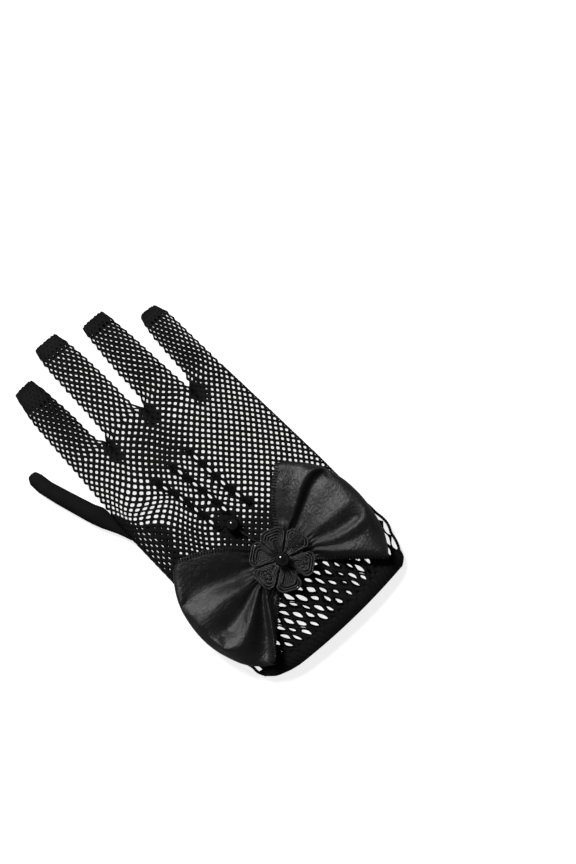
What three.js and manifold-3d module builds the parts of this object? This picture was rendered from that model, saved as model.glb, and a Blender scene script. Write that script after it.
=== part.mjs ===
// One right-hand net glove with a satin bow, lying flat with the back of the hand up.
// Millimetres, +Z up. The fingers point along +Y and the thumb lies towards -X.
// The origin is under the middle of the palm, on the surface that the glove rests on.
import * as THREE from "three";
import { mergeVertices } from "three/addons/utils/BufferGeometryUtils.js";
import Module from "manifold-3d";

const wasm = await Module();
wasm.setup();

// Driving dimensions
const WALL = 1.0; // thickness of the knitted net
const GAP = 0.3; // clearance between separate pieces
const HEM_WALL = 1.6; // the rolled hem is thicker than the net
const WIDEST_SHARE = 0.42; // height of a section's widest point, as a share of its height
const CORNER = 3.2; // run of the rounded lower corner of a section
const DOME_POWER = 2.5; // how square the top of a section is
const SHOULDER = 0.8; // share of the half width past which the trimmings no longer follow the net
const DOME_STEPS = 12; // facets across the top of a wide section
const FINGER_STEPS = 8; // facets across the top of a finger
const CORNER_STEPS = 2;

const HAND_END = -53.6; // the fine net meets the open cuff net here
const HEM_LOW_X = -8; // the hem's lowest point, from which both sides curve up
const HEM_CURVE = 0.0014; // how fast the hem rises with the square of the distance

const BOW = { x: 1.2, y: -51.2, inner: 3.0, hollowFrom: 0.3, hollowTo: 0.95 };
const BOW_CLEAR = 0.5; // from the glove's back to the underside of the bow
const GATHER_HEIGHT = 3.4; // the ribbon's thickness where it is gathered under the flower
const PLEAT_FROM = 0.24; // share of a loop's reach where its pleats start to rise
const PLEAT_TO = 0.56; // and where they stand full
const RIBBON = 1.0; // thickness of the satin and its fold
const HOLLOW = 3.4; // most that the two layers of a loop stand apart

const FLOWER = { inner: 3.0, outer: 16.4, bottom: 13.4, thick: 1.6, bevel: 0.7, halfAngle: 24 };
const PETAL_BROW = 3.4; // run of a petal's rounded outer corners
const CENTRE_BEAD = { diameter: 8.0, centreZ: 19.0 };
const DROP_BEAD = { diameter: 7.4, x: -6.1, y: -21.4 };
const DROP_STEM = { diameter: 1.8, from: { x: -5.1, y: -25.6 }, to: { x: 0.1, y: -44.5 }, lift: 0.9 };
const POINT_SEAM = { width: 4.2, height: 1.5, clear: 0.35 };

// Outline tables: at each y, where the left and right edges lie and how tall the section is.
const PALM = [
  { y: -110, left: -46.9, right: 53.6, height: 9.0 },
  { y: -66.3, left: -46.9, right: 53.6, height: 9.0 },
  { y: -45.9, left: -46.9, right: 51.5, height: 9.0 },
  { y: -23.0, left: -47.4, right: 50.0, height: 9.0 },
  { y: 10.2, left: -49.0, right: 46.9, height: 9.0 },
  { y: 30.6, left: -48.5, right: 44.9, height: 8.6 },
  { y: 46.4, left: -48.4, right: 43.4, height: 7.7 },
];
const KNUCKLES = [
  { y: 38.0, left: -48.4, right: 23.0, height: 7.7 },
  { y: 53.2, left: -48.4, right: 22.0, height: 7.4 },
];
const FINGERS = {
  index: [
    { y: 34.0, left: -46.0, right: -28.0, height: 5.4 },
    { y: 53.2, left: -48.4, right: -26.3, height: 7.5 },
    { y: 56.0, left: -48.5, right: -28.8, height: 7.5 },
    { y: 60.0, left: -48.5, right: -30.1, height: 7.5 },
    { y: 76.5, left: -48.6, right: -31.1, height: 7.4 },
    { y: 86.0, left: -48.4, right: -32.3, height: 7.2 },
    { y: 95.0, left: -47.0, right: -33.7, height: 5.6 },
    { y: 102.0, left: -46.2, right: -34.8, height: 2.4 },
  ],
  middle: [
    { y: 34.0, left: -25.0, right: -2.0, height: 5.4 },
    { y: 53.2, left: -25.7, right: -0.8, height: 7.6 },
    { y: 57.0, left: -24.6, right: -3.1, height: 7.6 },
    { y: 61.2, left: -24.5, right: -4.3, height: 7.6 },
    { y: 76.5, left: -24.7, right: -5.1, height: 7.6 },
    { y: 96.0, left: -25.0, right: -7.0, height: 7.2 },
    { y: 105.0, left: -24.6, right: -8.5, height: 5.6 },
    { y: 112.6, left: -23.8, right: -10.0, height: 2.4 },
  ],
  ring: [
    { y: 34.0, left: 0.6, right: 22.4, height: 5.4 },
    { y: 54.2, left: -0.2, right: 22.1, height: 7.6 },
    { y: 57.0, left: 0.8, right: 21.8, height: 7.6 },
    { y: 61.2, left: 1.3, right: 21.4, height: 7.6 },
    { y: 76.5, left: 0.8, right: 19.6, height: 7.5 },
    { y: 89.3, left: 1.0, right: 18.1, height: 7.2 },
    { y: 98.0, left: 1.5, right: 16.9, height: 5.6 },
    { y: 105.6, left: 2.0, right: 15.6, height: 2.4 },
  ],
  little: [
    { y: 30.0, left: 25.0, right: 42.2, height: 5.4 },
    { y: 46.4, left: 23.8, right: 43.4, height: 7.4 },
    { y: 49.5, left: 25.3, right: 43.2, height: 7.4 },
    { y: 54.0, left: 26.6, right: 42.9, height: 7.4 },
    { y: 66.3, left: 26.5, right: 41.8, height: 7.3 },
    { y: 76.5, left: 26.4, right: 41.1, height: 6.8 },
    { y: 84.0, left: 27.0, right: 40.4, height: 5.2 },
    { y: 90.6, left: 28.4, right: 38.0, height: 2.4 },
  ],
};
const THUMB = [
  { y: -8.0, left: -47.0, right: -36.0, height: 5.4 },
  { y: 6.0, left: -48.6, right: -38.0, height: 5.6 },
  { y: 14.3, left: -53.0, right: -40.5, height: 5.6 },
  { y: 21.4, left: -57.1, right: -44.0, height: 5.6 },
  { y: 29.0, left: -60.4, right: -49.5, height: 5.6 },
  { y: 33.2, left: -61.9, right: -51.9, height: 5.6 },
  { y: 45.9, left: -66.4, right: -57.0, height: 5.6 },
  { y: 56.1, left: -69.5, right: -60.9, height: 5.2 },
  { y: 62.2, left: -70.1, right: -62.2, height: 4.2 },
  { y: 65.8, left: -68.0, right: -64.2, height: 2.6 },
];
const HEM_TABLE = [
  { y: -89.9, left: -43.6, right: 49.8, height: 9.0 },
  { y: -94.4, left: -42.0, right: 48.2, height: 8.8 },
  { y: -97.3, left: -37.6, right: 44.8, height: 8.4 },
];
const CUFF_TABLE = [
  { y: -53.9, left: -46.9, right: 52.4, height: 9.0 },
  { y: -66.3, left: -46.9, right: 53.6, height: 9.0 },
  { y: -76.5, left: -45.9, right: 53.1, height: 9.0 },
  { y: -89.2, left: -43.6, right: 49.8, height: 9.0 },
];

// Rays of each bow loop: direction in degrees, how far the loop reaches, how high its pleats
// stand, and how much the ray turns near the gathered middle.
const LEFT_LOOP = [
  { angle: 140, reach: 53.6, crest: 0.6, turn: -26 },
  { angle: 145, reach: 55.2, crest: 1.2, turn: -22 },
  { angle: 152, reach: 55.8, crest: 1.0, turn: -16 },
  { angle: 160, reach: 56.4, crest: 1.4, turn: -9 },
  { angle: 166, reach: 56.6, crest: 3.4, turn: -4 },
  { angle: 173, reach: 56.5, crest: 0.8, turn: 0 },
  { angle: 180, reach: 56.5, crest: 0.8, turn: 0 },
  { angle: 187, reach: 56.5, crest: 1.4, turn: 0 },
  { angle: 194, reach: 56.3, crest: 3.4, turn: 0 },
  { angle: 201, reach: 56.1, crest: 3.2, turn: 0 },
  { angle: 207, reach: 56.2, crest: 0.8, turn: 0 },
  { angle: 213, reach: 56.0, crest: 2.6, turn: 0 },
  { angle: 219, reach: 54.8, crest: 1.6, turn: 0 },
  { angle: 225, reach: 52.3, crest: 0.6, turn: 0 },
];
const RIGHT_LOOP = [
  { angle: -40, reach: 55.2, crest: 0.6, turn: 0 },
  { angle: -34, reach: 55.8, crest: 2.6, turn: 0 },
  { angle: -27, reach: 55.9, crest: 1.2, turn: 0 },
  { angle: -20, reach: 54.9, crest: 3.2, turn: 0 },
  { angle: -12, reach: 53.5, crest: 3.2, turn: 0 },
  { angle: -5, reach: 52.9, crest: 1.0, turn: 0 },
  { angle: 3, reach: 52.6, crest: 2.6, turn: 0 },
  { angle: 11, reach: 52.5, crest: 3.0, turn: 0 },
  { angle: 18, reach: 52.3, crest: 1.0, turn: 0 },
  { angle: 25, reach: 52.5, crest: 3.4, turn: 3 },
  { angle: 33, reach: 51.9, crest: 1.6, turn: 6 },
  { angle: 41, reach: 51.0, crest: 1.2, turn: 10 },
  { angle: 47, reach: 50.6, crest: 1.6, turn: 13 },
  { angle: 53, reach: 49.8, crest: 0.6, turn: 16 },
];
const LOOP_STEPS = [0, 0.12, 0.25, 0.42, 0.62, 0.8, 0.91, 0.97, 1];
const LOOP_BODY = 2.6; // thickness that the pleats stand on
const LOOP_LIP = 0.4; // share of the thickness left at the outer fold
const LOOP_OPEN_TURN = 3; // the hollow runs this many degrees past each open side

const PETAL_ANGLES = [128, 71, 13, -50, -115, 186];
// Centre lines of the three point seams, from the knuckles to the bow.
const POINTS = [
  [
    { x: -21.2, y: 21.4 },
    { x: -19.4, y: 15.3 },
    { x: -16.8, y: 6.1 },
    { x: -14.8, y: -3.6 },
    { x: -13.3, y: -13.3 },
    { x: -12.0, y: -19.4 },
  ],
  [
    { x: -9.9, y: 23.0 },
    { x: -8.7, y: 16.3 },
    { x: -7.1, y: 6.6 },
    { x: -5.6, y: -2.6 },
    { x: -4.4, y: -10.0 },
    { x: -3.4, y: -16.2 },
  ],
  [
    { x: 1.4, y: 23.0 },
    { x: 2.0, y: 16.8 },
    { x: 3.1, y: 7.7 },
    { x: 4.1, y: -2.0 },
    { x: 5.8, y: -11.7 },
    { x: 8.9, y: -19.4 },
  ],
];

const COLOURS = { net: 0x141414, satin: 0x262728, braid: 0x1c1c1c, bead: 0x050505 };
const material = (colour, roughness) =>
  new THREE.MeshStandardMaterial({ color: colour, roughness, metalness: 0 });
const MATERIALS = {
  net: material(COLOURS.net, 0.85),
  satin: material(COLOURS.satin, 0.4),
  braid: material(COLOURS.braid, 0.7),
  bead: material(COLOURS.bead, 0.08),
};

const radians = THREE.MathUtils.degToRad;
const hemRise = (x) => HEM_CURVE * (x - HEM_LOW_X) ** 2;

// A closed solid from a geometry whose shared corners are merged.
function solidOf(geometry) {
  const bare = geometry.index ? geometry.toNonIndexed() : geometry.clone();
  bare.deleteAttribute("normal");
  bare.deleteAttribute("uv");
  const merged = mergeVertices(bare, 1e-4);
  return new wasm.Manifold(
    new wasm.Mesh({
      numProp: 3,
      vertProperties: merged.getAttribute("position").array,
      triVerts: new Uint32Array(merged.index.array),
    }),
  );
}

function geometryOf(solid) {
  const mesh = solid.getMesh();
  const positions = new Float32Array(mesh.numVert * 3);
  for (let i = 0; i < mesh.numVert; i++)
    positions.set(mesh.vertProperties.subarray(i * mesh.numProp, i * mesh.numProp + 3), i * 3);
  const geometry = new THREE.BufferGeometry();
  geometry.setAttribute("position", new THREE.BufferAttribute(positions, 3));
  geometry.setIndex(new THREE.BufferAttribute(new Uint32Array(mesh.triVerts), 1));
  return geometry;
}

// A closed surface through rings of equally many points. Each end is a strip across its ring.
function skin(rings) {
  const positions = [];
  const triangle = (a, b, c) => positions.push(a.x, a.y, a.z, b.x, b.y, b.z, c.x, c.y, c.z);
  const n = rings[0].length;
  for (let i = 0; i + 1 < rings.length; i++)
    for (let k = 0; k < n; k++) {
      const m = (k + 1) % n;
      triangle(rings[i][k], rings[i][m], rings[i + 1][m]);
      triangle(rings[i][k], rings[i + 1][m], rings[i + 1][k]);
    }
  const first = [...rings[0]].reverse();
  const last = rings[rings.length - 1];
  for (const ring of [first, last])
    for (let k = 0; k + 1 < n - 1 - k; k++) {
      triangle(ring[k], ring[k + 1], ring[n - 1 - k]);
      if (k + 1 < n - 2 - k) triangle(ring[k + 1], ring[n - 2 - k], ring[n - 1 - k]);
    }
  const geometry = new THREE.BufferGeometry();
  geometry.setAttribute("position", new THREE.Float32BufferAttribute(positions, 3));
  return geometry;
}

// Height of a section's top at x: a low dome that falls to the widest level at both edges.
function domeHeight(row, x) {
  const half = (row.right - row.left) / 2;
  const across = Math.min(1, Math.abs(x - (row.left + row.right) / 2) / half);
  const widest = WIDEST_SHARE * row.height;
  const dome = (1 - across ** DOME_POWER) ** (1 / DOME_POWER);
  return widest + (row.height - widest) * dome;
}

// One section: domed on top, flat below, with rounded lower corners. inset shrinks it all round.
function sectionRing(row, steps, inset = 0, bendHem = false) {
  const centre = (row.left + row.right) / 2;
  const half = (row.right - row.left) / 2 - inset;
  const low = inset;
  const high = row.height - inset;
  const widest = low + WIDEST_SHARE * (high - low);
  const corner = Math.min(CORNER, 0.4 * half);
  const ring = [];
  const put = (x, z) => ring.push(new THREE.Vector3(x, row.y + (bendHem ? hemRise(x) : 0), z));
  for (let i = 0; i <= steps; i++) {
    const t = (Math.PI * i) / steps;
    const share = Math.cos(t);
    const across = Math.sign(share) * Math.abs(share) ** (2 / DOME_POWER);
    put(centre + half * across, widest + (high - widest) * Math.sin(t) ** (2 / DOME_POWER));
  }
  for (let i = 1; i <= CORNER_STEPS; i++) {
    const t = (Math.PI / 2) * (i / CORNER_STEPS);
    put(centre - half + corner * (1 - Math.cos(t)), widest - (widest - low) * Math.sin(t));
  }
  for (let i = CORNER_STEPS; i >= 1; i--) {
    const t = (Math.PI / 2) * (i / CORNER_STEPS);
    put(centre + half - corner * (1 - Math.cos(t)), widest - (widest - low) * Math.sin(t));
  }
  return ring.reverse();
}

const tube = (rows, steps, inset, bendHem) =>
  solidOf(skin(rows.map((row) => sectionRing(row, steps, inset, bendHem))));

// A closed limb's hollow: the same sections, inset, with the tip drawn back by the wall.
function limbHollow(rows, steps) {
  const inside = rows.map((row) => ({ ...row }));
  const tip = inside[inside.length - 1];
  const before = inside[inside.length - 2];
  tip.y -= WALL;
  tip.height += (before.height - tip.height) * (WALL / (tip.y + WALL - before.y)) + 0.2;
  return tube(inside, steps, WALL);
}

// The table's row at y, worked out between its two neighbours.
function rowAt(table, y) {
  const rows = [...table].sort((a, b) => a.y - b.y);
  const next = Math.max(1, rows.findIndex((row) => row.y >= y));
  const [low, high] = [rows[next - 1], rows[next]];
  const share = (y - low.y) / (high.y - low.y);
  const mix = (key) => low[key] + (high[key] - low[key]) * share;
  return { y, left: mix("left"), right: mix("right"), height: mix("height") };
}

// Top of the glove's back at a point of the palm, wrist or cuff. It stays level past the shoulders.
function backHeight(x, y) {
  const row = rowAt(PALM, THREE.MathUtils.clamp(y, -100, 46));
  const centre = (row.left + row.right) / 2;
  const shoulder = (SHOULDER * (row.right - row.left)) / 2;
  return domeHeight(row, THREE.MathUtils.clamp(x, centre - shoulder, centre + shoulder));
}

// A closed solid between a top and a bottom grid of points of the same size.
function slab(top, bottom) {
  const rings = top.map((line, i) => [...line, ...[...bottom[i]].reverse()]);
  return skin(rings.map((ring) => ring.map((point) => point.clone())));
}

function handSolid() {
  const palmRows = [
    rowAt(PALM, HAND_END),
    ...PALM.filter((row) => row.y > HAND_END),
  ];
  const pastWrist = [{ ...palmRows[0], y: HAND_END - 5 }, ...palmRows.slice(1, -1), {
    ...palmRows[palmRows.length - 1],
    y: palmRows[palmRows.length - 1].y - WALL,
  }];
  const knucklesInside = [KNUCKLES[0], { ...KNUCKLES[1], y: KNUCKLES[1].y - WALL }];
  let outer = tube(palmRows, DOME_STEPS).add(tube(KNUCKLES, DOME_STEPS));
  let inner = tube(pastWrist, DOME_STEPS, WALL).add(tube(knucklesInside, DOME_STEPS, WALL));
  for (const rows of Object.values(FINGERS)) {
    outer = outer.add(tube(rows, FINGER_STEPS));
    inner = inner.add(limbHollow(rows, FINGER_STEPS));
  }
  return outer.subtract(inner).subtract(limbHollow(THUMB, FINGER_STEPS));
}

function thumbSolid() {
  const grown = PALM.map((row) => ({
    ...row,
    left: row.left - GAP,
    right: row.right + GAP,
    height: row.height + GAP,
  }));
  const clearOfPalm = tube(grown, DOME_STEPS);
  const below = clearOfPalm.translate([0, 0, -GAP]);
  const shell = tube(THUMB, FINGER_STEPS).subtract(limbHollow(THUMB, FINGER_STEPS));
  return shell.subtract(clearOfPalm).subtract(below);
}

// The cuff's bend grows from nothing at the hand to the hem's full curve.
function cuffSolid() {
  const bent = (inset, over) =>
    solidOf(
      skin(
        CUFF_TABLE.map((row, i) => {
          const share = i / (CUFF_TABLE.length - 1);
          const end = i === 0 ? over : i === CUFF_TABLE.length - 1 ? -over : 0;
          const ring = sectionRing({ ...row, y: row.y + end }, DOME_STEPS, inset);
          return ring.map((p) => new THREE.Vector3(p.x, p.y + share * hemRise(p.x), p.z));
        }).reverse(),
      ),
    );
  return bent(0, 0).subtract(bent(WALL, 3));
}

function hemSolid() {
  const rows = HEM_TABLE.map((row) => ({ ...row, left: row.left - 0.2, right: row.right + 0.2 }));
  const outer = tube([...rows].reverse(), DOME_STEPS, 0, true);
  const over = [...rows].reverse().map((row, i) => ({ ...row, y: row.y + (i === 0 ? -3 : 0) }));
  over[over.length - 1] = { ...over[over.length - 1], y: over[over.length - 1].y + 3 };
  return outer.subtract(tube(over, DOME_STEPS, HEM_WALL, true));
}

// One bow loop: a folded ribbon, thin where it is gathered, pleated on top and open at both sides.
function loopSolid(rays) {
  const point = (ray, share, z) => {
    const along = BOW.inner + (ray.reach - BOW.inner) * share;
    const angle = radians(ray.angle + ray.turn * (1 - share));
    const x = BOW.x + along * Math.cos(angle);
    const y = BOW.y + along * Math.sin(angle);
    return new THREE.Vector3(x, y, z(x, y));
  };
  const under = (x, y) => backHeight(x, y) + BOW_CLEAR;
  const thickness = (ray, share) => {
    const rise = THREE.MathUtils.smoothstep(share, PLEAT_FROM, PLEAT_TO);
    const body = GATHER_HEIGHT + (LOOP_BODY + ray.crest) * rise;
    const past = Math.max(0, (share - 0.8) / 0.2);
    return body * (LOOP_LIP + (1 - LOOP_LIP) * Math.sqrt(1 - past ** 2));
  };
  const lift = (ray, share) => Math.max(0, thickness(ray, share) - 2 * RIBBON - HOLLOW);
  const grid = (list, shares, z) =>
    list.map((ray) => shares.map((share) => point(ray, share, z(ray, share))));
  const outer = solidOf(
    slab(
      grid(rays, LOOP_STEPS, (ray, share) => (x, y) => under(x, y) + thickness(ray, share)),
      grid(rays, LOOP_STEPS, (ray, share) => (x, y) => under(x, y) + lift(ray, share)),
    ),
  );
  const first = { ...rays[0], angle: rays[0].angle - LOOP_OPEN_TURN };
  const last = { ...rays[rays.length - 1], angle: rays[rays.length - 1].angle + LOOP_OPEN_TURN };
  const wide = [first, ...rays, last];
  const within = LOOP_STEPS.filter((share) => share > BOW.hollowFrom && share < BOW.hollowTo);
  const inside = [BOW.hollowFrom, ...within, BOW.hollowTo];
  const roof = (ray, share) => Math.max(RIBBON + 0.5, thickness(ray, share) - RIBBON);
  const inner = solidOf(
    slab(
      grid(wide, inside, (ray, share) => (x, y) => under(x, y) + roof(ray, share)),
      grid(wide, inside, (ray, share) => (x, y) => under(x, y) + lift(ray, share) + RIBBON),
    ),
  );
  return outer.subtract(inner);
}

// A petal: a wedge with rounded corners and a soft upper edge, pointing along +X before it is turned.
function petalGeometry() {
  const { inner, outer, thick, bevel, halfAngle } = FLOWER;
  const slope = Math.tan(radians(halfAngle));
  const root = inner + bevel;
  const end = outer - bevel;
  const shoulder = end - PETAL_BROW;
  const narrow = root * slope - 0.8 * bevel;
  const broad = shoulder * slope - 0.8 * bevel;
  const shape = new THREE.Shape();
  shape.moveTo(root, -narrow);
  shape.lineTo(shoulder, -broad);
  shape.quadraticCurveTo(end, -broad, end, -0.35 * broad);
  shape.lineTo(end, 0.35 * broad);
  shape.quadraticCurveTo(end, broad, shoulder, broad);
  shape.lineTo(root, narrow);
  shape.closePath();
  const options = { depth: thick, bevelEnabled: true, bevelSize: bevel, bevelThickness: bevel };
  return new THREE.ExtrudeGeometry(shape, { ...options, bevelSegments: 2, curveSegments: 4 });
}

// A point seam: a low ridge of gathered net that follows the back of the hand.
function pointGeometry(path) {
  const curve = new THREE.CatmullRomCurve3(path.map(({ x, y }) => new THREE.Vector3(x, y, 0)));
  const rings = curve.getSpacedPoints(12).map((centre, i, all) => {
    const ahead = all[Math.min(i + 1, all.length - 1)];
    const behind = all[Math.max(i - 1, 0)];
    const side = new THREE.Vector3().subVectors(ahead, behind).normalize();
    const taper = i === 0 || i === all.length - 1 ? 0.55 : 1;
    const profile = [
      { across: -1, up: 0 },
      { across: -0.55, up: 0.8 },
      { across: 0, up: 1 },
      { across: 0.55, up: 0.8 },
      { across: 1, up: 0 },
      { across: 0, up: 0 },
    ];
    return profile.reverse().map(({ across, up }) => {
      const reach = (across * taper * POINT_SEAM.width) / 2;
      const x = centre.x - side.y * reach;
      const y = centre.y + side.x * reach;
      const lift = POINT_SEAM.clear + up * taper * POINT_SEAM.height;
      return new THREE.Vector3(x, y, backHeight(x, y) + lift);
    });
  });
  return skin(rings);
}

function dropParts() {
  const radius = DROP_BEAD.diameter / 2;
  const bead = new THREE.SphereGeometry(radius, 16, 12);
  const z = backHeight(DROP_BEAD.x, DROP_BEAD.y) + GAP + radius;
  bead.translate(DROP_BEAD.x, DROP_BEAD.y, z);
  const along = new THREE.CatmullRomCurve3(
    [0, 0.33, 0.66, 1].map((share) => {
      const x = DROP_STEM.from.x + (DROP_STEM.to.x - DROP_STEM.from.x) * share;
      const y = DROP_STEM.from.y + (DROP_STEM.to.y - DROP_STEM.from.y) * share;
      const rest = backHeight(x, y) + GAP + DROP_STEM.diameter / 2;
      return new THREE.Vector3(x, y, rest + DROP_STEM.lift * (1 - share));
    }),
  );
  const round = new THREE.Shape();
  round.absarc(0, 0, DROP_STEM.diameter / 2, 0, 2 * Math.PI, false);
  const stem = new THREE.ExtrudeGeometry(round, { steps: 10, curveSegments: 4, extrudePath: along });
  return { bead, stem };
}

const glove = new THREE.Group();
function add(name, geometry, finish, parent = glove) {
  const mesh = new THREE.Mesh(geometry, finish);
  mesh.name = name;
  parent.add(mesh);
  return mesh;
}

add("hand_net", geometryOf(handSolid()), MATERIALS.net);
add("thumb", geometryOf(thumbSolid()), MATERIALS.net);
add("cuff_net", geometryOf(cuffSolid()), MATERIALS.net);
add("cuff_hem", geometryOf(hemSolid()), MATERIALS.net);
POINTS.forEach((path, i) => add("point_seam_" + (i + 1), pointGeometry(path), MATERIALS.net));
add("bow_loop_left", geometryOf(loopSolid(LEFT_LOOP)), MATERIALS.satin);
add("bow_loop_right", geometryOf(loopSolid(RIGHT_LOOP)), MATERIALS.satin);

const flower = new THREE.Group();
flower.position.set(BOW.x, BOW.y, 0);
glove.add(flower);
PETAL_ANGLES.forEach((angle, i) => {
  const petal = add("petal_" + (i + 1), petalGeometry(), MATERIALS.braid, flower);
  petal.position.z = FLOWER.bottom + FLOWER.bevel;
  petal.rotation.z = radians(angle);
});
const centreBead = new THREE.SphereGeometry(CENTRE_BEAD.diameter / 2, 18, 14);
add("centre_bead", centreBead, MATERIALS.bead, flower).position.z = CENTRE_BEAD.centreZ;

const drop = dropParts();
add("drop_bead", drop.bead, MATERIALS.bead);
add("drop_stem", drop.stem, MATERIALS.braid);

export default glove;
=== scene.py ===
# A right-hand net glove lying flat, with point seams, a satin bow and a braid flower with beads.
# Lengths are in millimetres in the frame of the CAD model, and in metres for the lights and the sheets.
import math

import bpy
import numpy as np
from mathutils import Matrix, Vector


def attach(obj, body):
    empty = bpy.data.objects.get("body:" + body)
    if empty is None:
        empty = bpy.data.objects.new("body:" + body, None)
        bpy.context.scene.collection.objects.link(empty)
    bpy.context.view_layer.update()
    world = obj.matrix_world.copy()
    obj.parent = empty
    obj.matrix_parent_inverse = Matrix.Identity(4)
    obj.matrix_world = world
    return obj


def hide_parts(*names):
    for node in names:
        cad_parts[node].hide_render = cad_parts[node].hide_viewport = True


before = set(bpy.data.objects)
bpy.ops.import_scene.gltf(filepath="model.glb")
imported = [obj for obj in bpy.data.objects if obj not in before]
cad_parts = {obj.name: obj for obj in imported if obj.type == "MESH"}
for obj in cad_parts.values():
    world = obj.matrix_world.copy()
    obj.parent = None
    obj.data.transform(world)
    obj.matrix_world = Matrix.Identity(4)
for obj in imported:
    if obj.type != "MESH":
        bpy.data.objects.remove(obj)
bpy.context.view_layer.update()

MM = 0.001
TAU = 2 * np.pi
TINY = 1e-9
UP = np.array([0, 0, 1.0])
RNG = np.random.default_rng(7)


# Camera: nearly straight above, set back a little towards the lower edge of the picture.
LOOK = np.array([46.7, -3.3, 0.0])
IMAGE_UP = np.array([0.6561, 0.7547, 0.0])
ELEVATION = math.radians(84.0)
DISTANCE = 1300.0
VIEW_HEIGHT = 441.0
SENSOR = 36.0
EYE = LOOK + DISTANCE * (math.sin(ELEVATION) * UP - math.cos(ELEVATION) * IMAGE_UP)

cam_data = bpy.data.cameras.new("camera")
cam = bpy.data.objects.new("camera", cam_data)
bpy.context.collection.objects.link(cam)
cam_data.sensor_fit = "VERTICAL"
cam_data.sensor_height = SENSOR
cam_data.lens = SENSOR * DISTANCE / VIEW_HEIGHT
cam_data.clip_start = 0.05
cam_data.clip_end = 20.0
forward = (Vector(LOOK) - Vector(EYE)).normalized()
up = (Vector(IMAGE_UP) - forward * forward.dot(Vector(IMAGE_UP))).normalized()
turn = Matrix((forward.cross(up), up, -forward)).transposed().to_4x4()
cam.matrix_world = Matrix.Translation(Vector(EYE * MM)) @ turn
bpy.context.scene.camera = cam


# Small helpers.
def smooth01(a, b, x):
    t = np.clip((x - a) / (b - a), 0.0, 1.0)
    return t * t * (3 - 2 * t)


def unit(v):
    """Vectors of length one."""
    return v / (np.linalg.norm(v, axis=-1, keepdims=True) + TINY)


def run_length(points):
    """Length along a path, or along each of several paths side by side, up to each of its points."""
    steps = np.linalg.norm(np.diff(points, axis=0), axis=-1)
    return np.concatenate([np.zeros_like(steps[:1]), np.cumsum(steps, axis=0)])


def resample(points, step):
    """The same path with points at even steps."""
    points = np.asarray(points, dtype=float)
    d = run_length(points)
    n = max(int(round(d[-1] / step)), 2)
    s = np.linspace(0, d[-1], n + 1)
    return np.stack([np.interp(s, d, column) for column in points.T], axis=1)


def smooth_path(points, step):
    """A rounded path through the corners of a table."""
    p = np.asarray(points, dtype=float)
    for _ in range(2):
        q = [p[0]]
        for a, b in zip(p[:-1], p[1:]):
            q.append(a * 0.75 + b * 0.25)
            q.append(a * 0.25 + b * 0.75)
        q.append(p[-1])
        p = np.array(q)
    return resample(p, step)


def add_mesh(name, points, faces, uv=None):
    """Makes an object from points and faces that all have the same number of corners."""
    mesh = bpy.data.meshes.new(name)
    points = np.asarray(points, dtype=np.float32) * MM
    faces = np.asarray(faces, dtype=np.int32)
    mesh.vertices.add(len(points))
    mesh.vertices.foreach_set("co", points.ravel())
    mesh.loops.add(faces.size)
    mesh.loops.foreach_set("vertex_index", faces.ravel())
    mesh.polygons.add(len(faces))
    mesh.polygons.foreach_set("loop_start", np.arange(0, faces.size, faces.shape[1], dtype=np.int32))
    mesh.polygons.foreach_set("use_smooth", np.ones(len(faces), dtype=bool))
    if uv is not None:
        layer = mesh.uv_layers.new(name="weave")
        layer.data.foreach_set("uv", np.asarray(uv, dtype=np.float32)[faces.ravel()].ravel())
    mesh.update(calc_edges=True)
    mesh.validate()
    obj = bpy.data.objects.new(name, mesh)
    bpy.context.collection.objects.link(obj)
    return obj


class Parts:
    """Gathers grids and tubes into one mesh of quads."""

    def __init__(self):
        self.points = []
        self.faces = []
        self.count = 0

    def add(self, points, faces):
        self.points.append(points)
        self.faces.append(np.asarray(faces) + self.count)
        self.count += len(points)

    def object(self, name):
        return add_mesh(name, np.concatenate(self.points), np.concatenate(self.faces))


def grid_faces(rows, cols, close_rows=False, close_cols=False, flip=False):
    """Quads of a grid of points, which may close on itself."""
    r = np.arange(rows if close_rows else rows - 1)
    c = np.arange(cols if close_cols else cols - 1)
    rr, cc = np.meshgrid(r, c, indexing="ij")
    r2 = (rr + 1) % rows
    c2 = (cc + 1) % cols
    corners = [rr * cols + cc, rr * cols + c2, r2 * cols + c2, r2 * cols + cc]
    quads = np.stack(corners, axis=-1).reshape(-1, 4)
    return quads[:, ::-1] if flip else quads


def rim_faces(rows, cols):
    """Quads between the border of a grid and the border of its copy, whose points come after it."""
    idx = np.arange(rows * cols).reshape(rows, cols)
    border = np.concatenate([idx[0, :-1], idx[:-1, -1], idx[-1, :0:-1], idx[:0:-1, 0]])
    after = np.roll(border, -1)
    return np.stack([border, after, after + rows * cols, border + rows * cols], axis=1)


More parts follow.
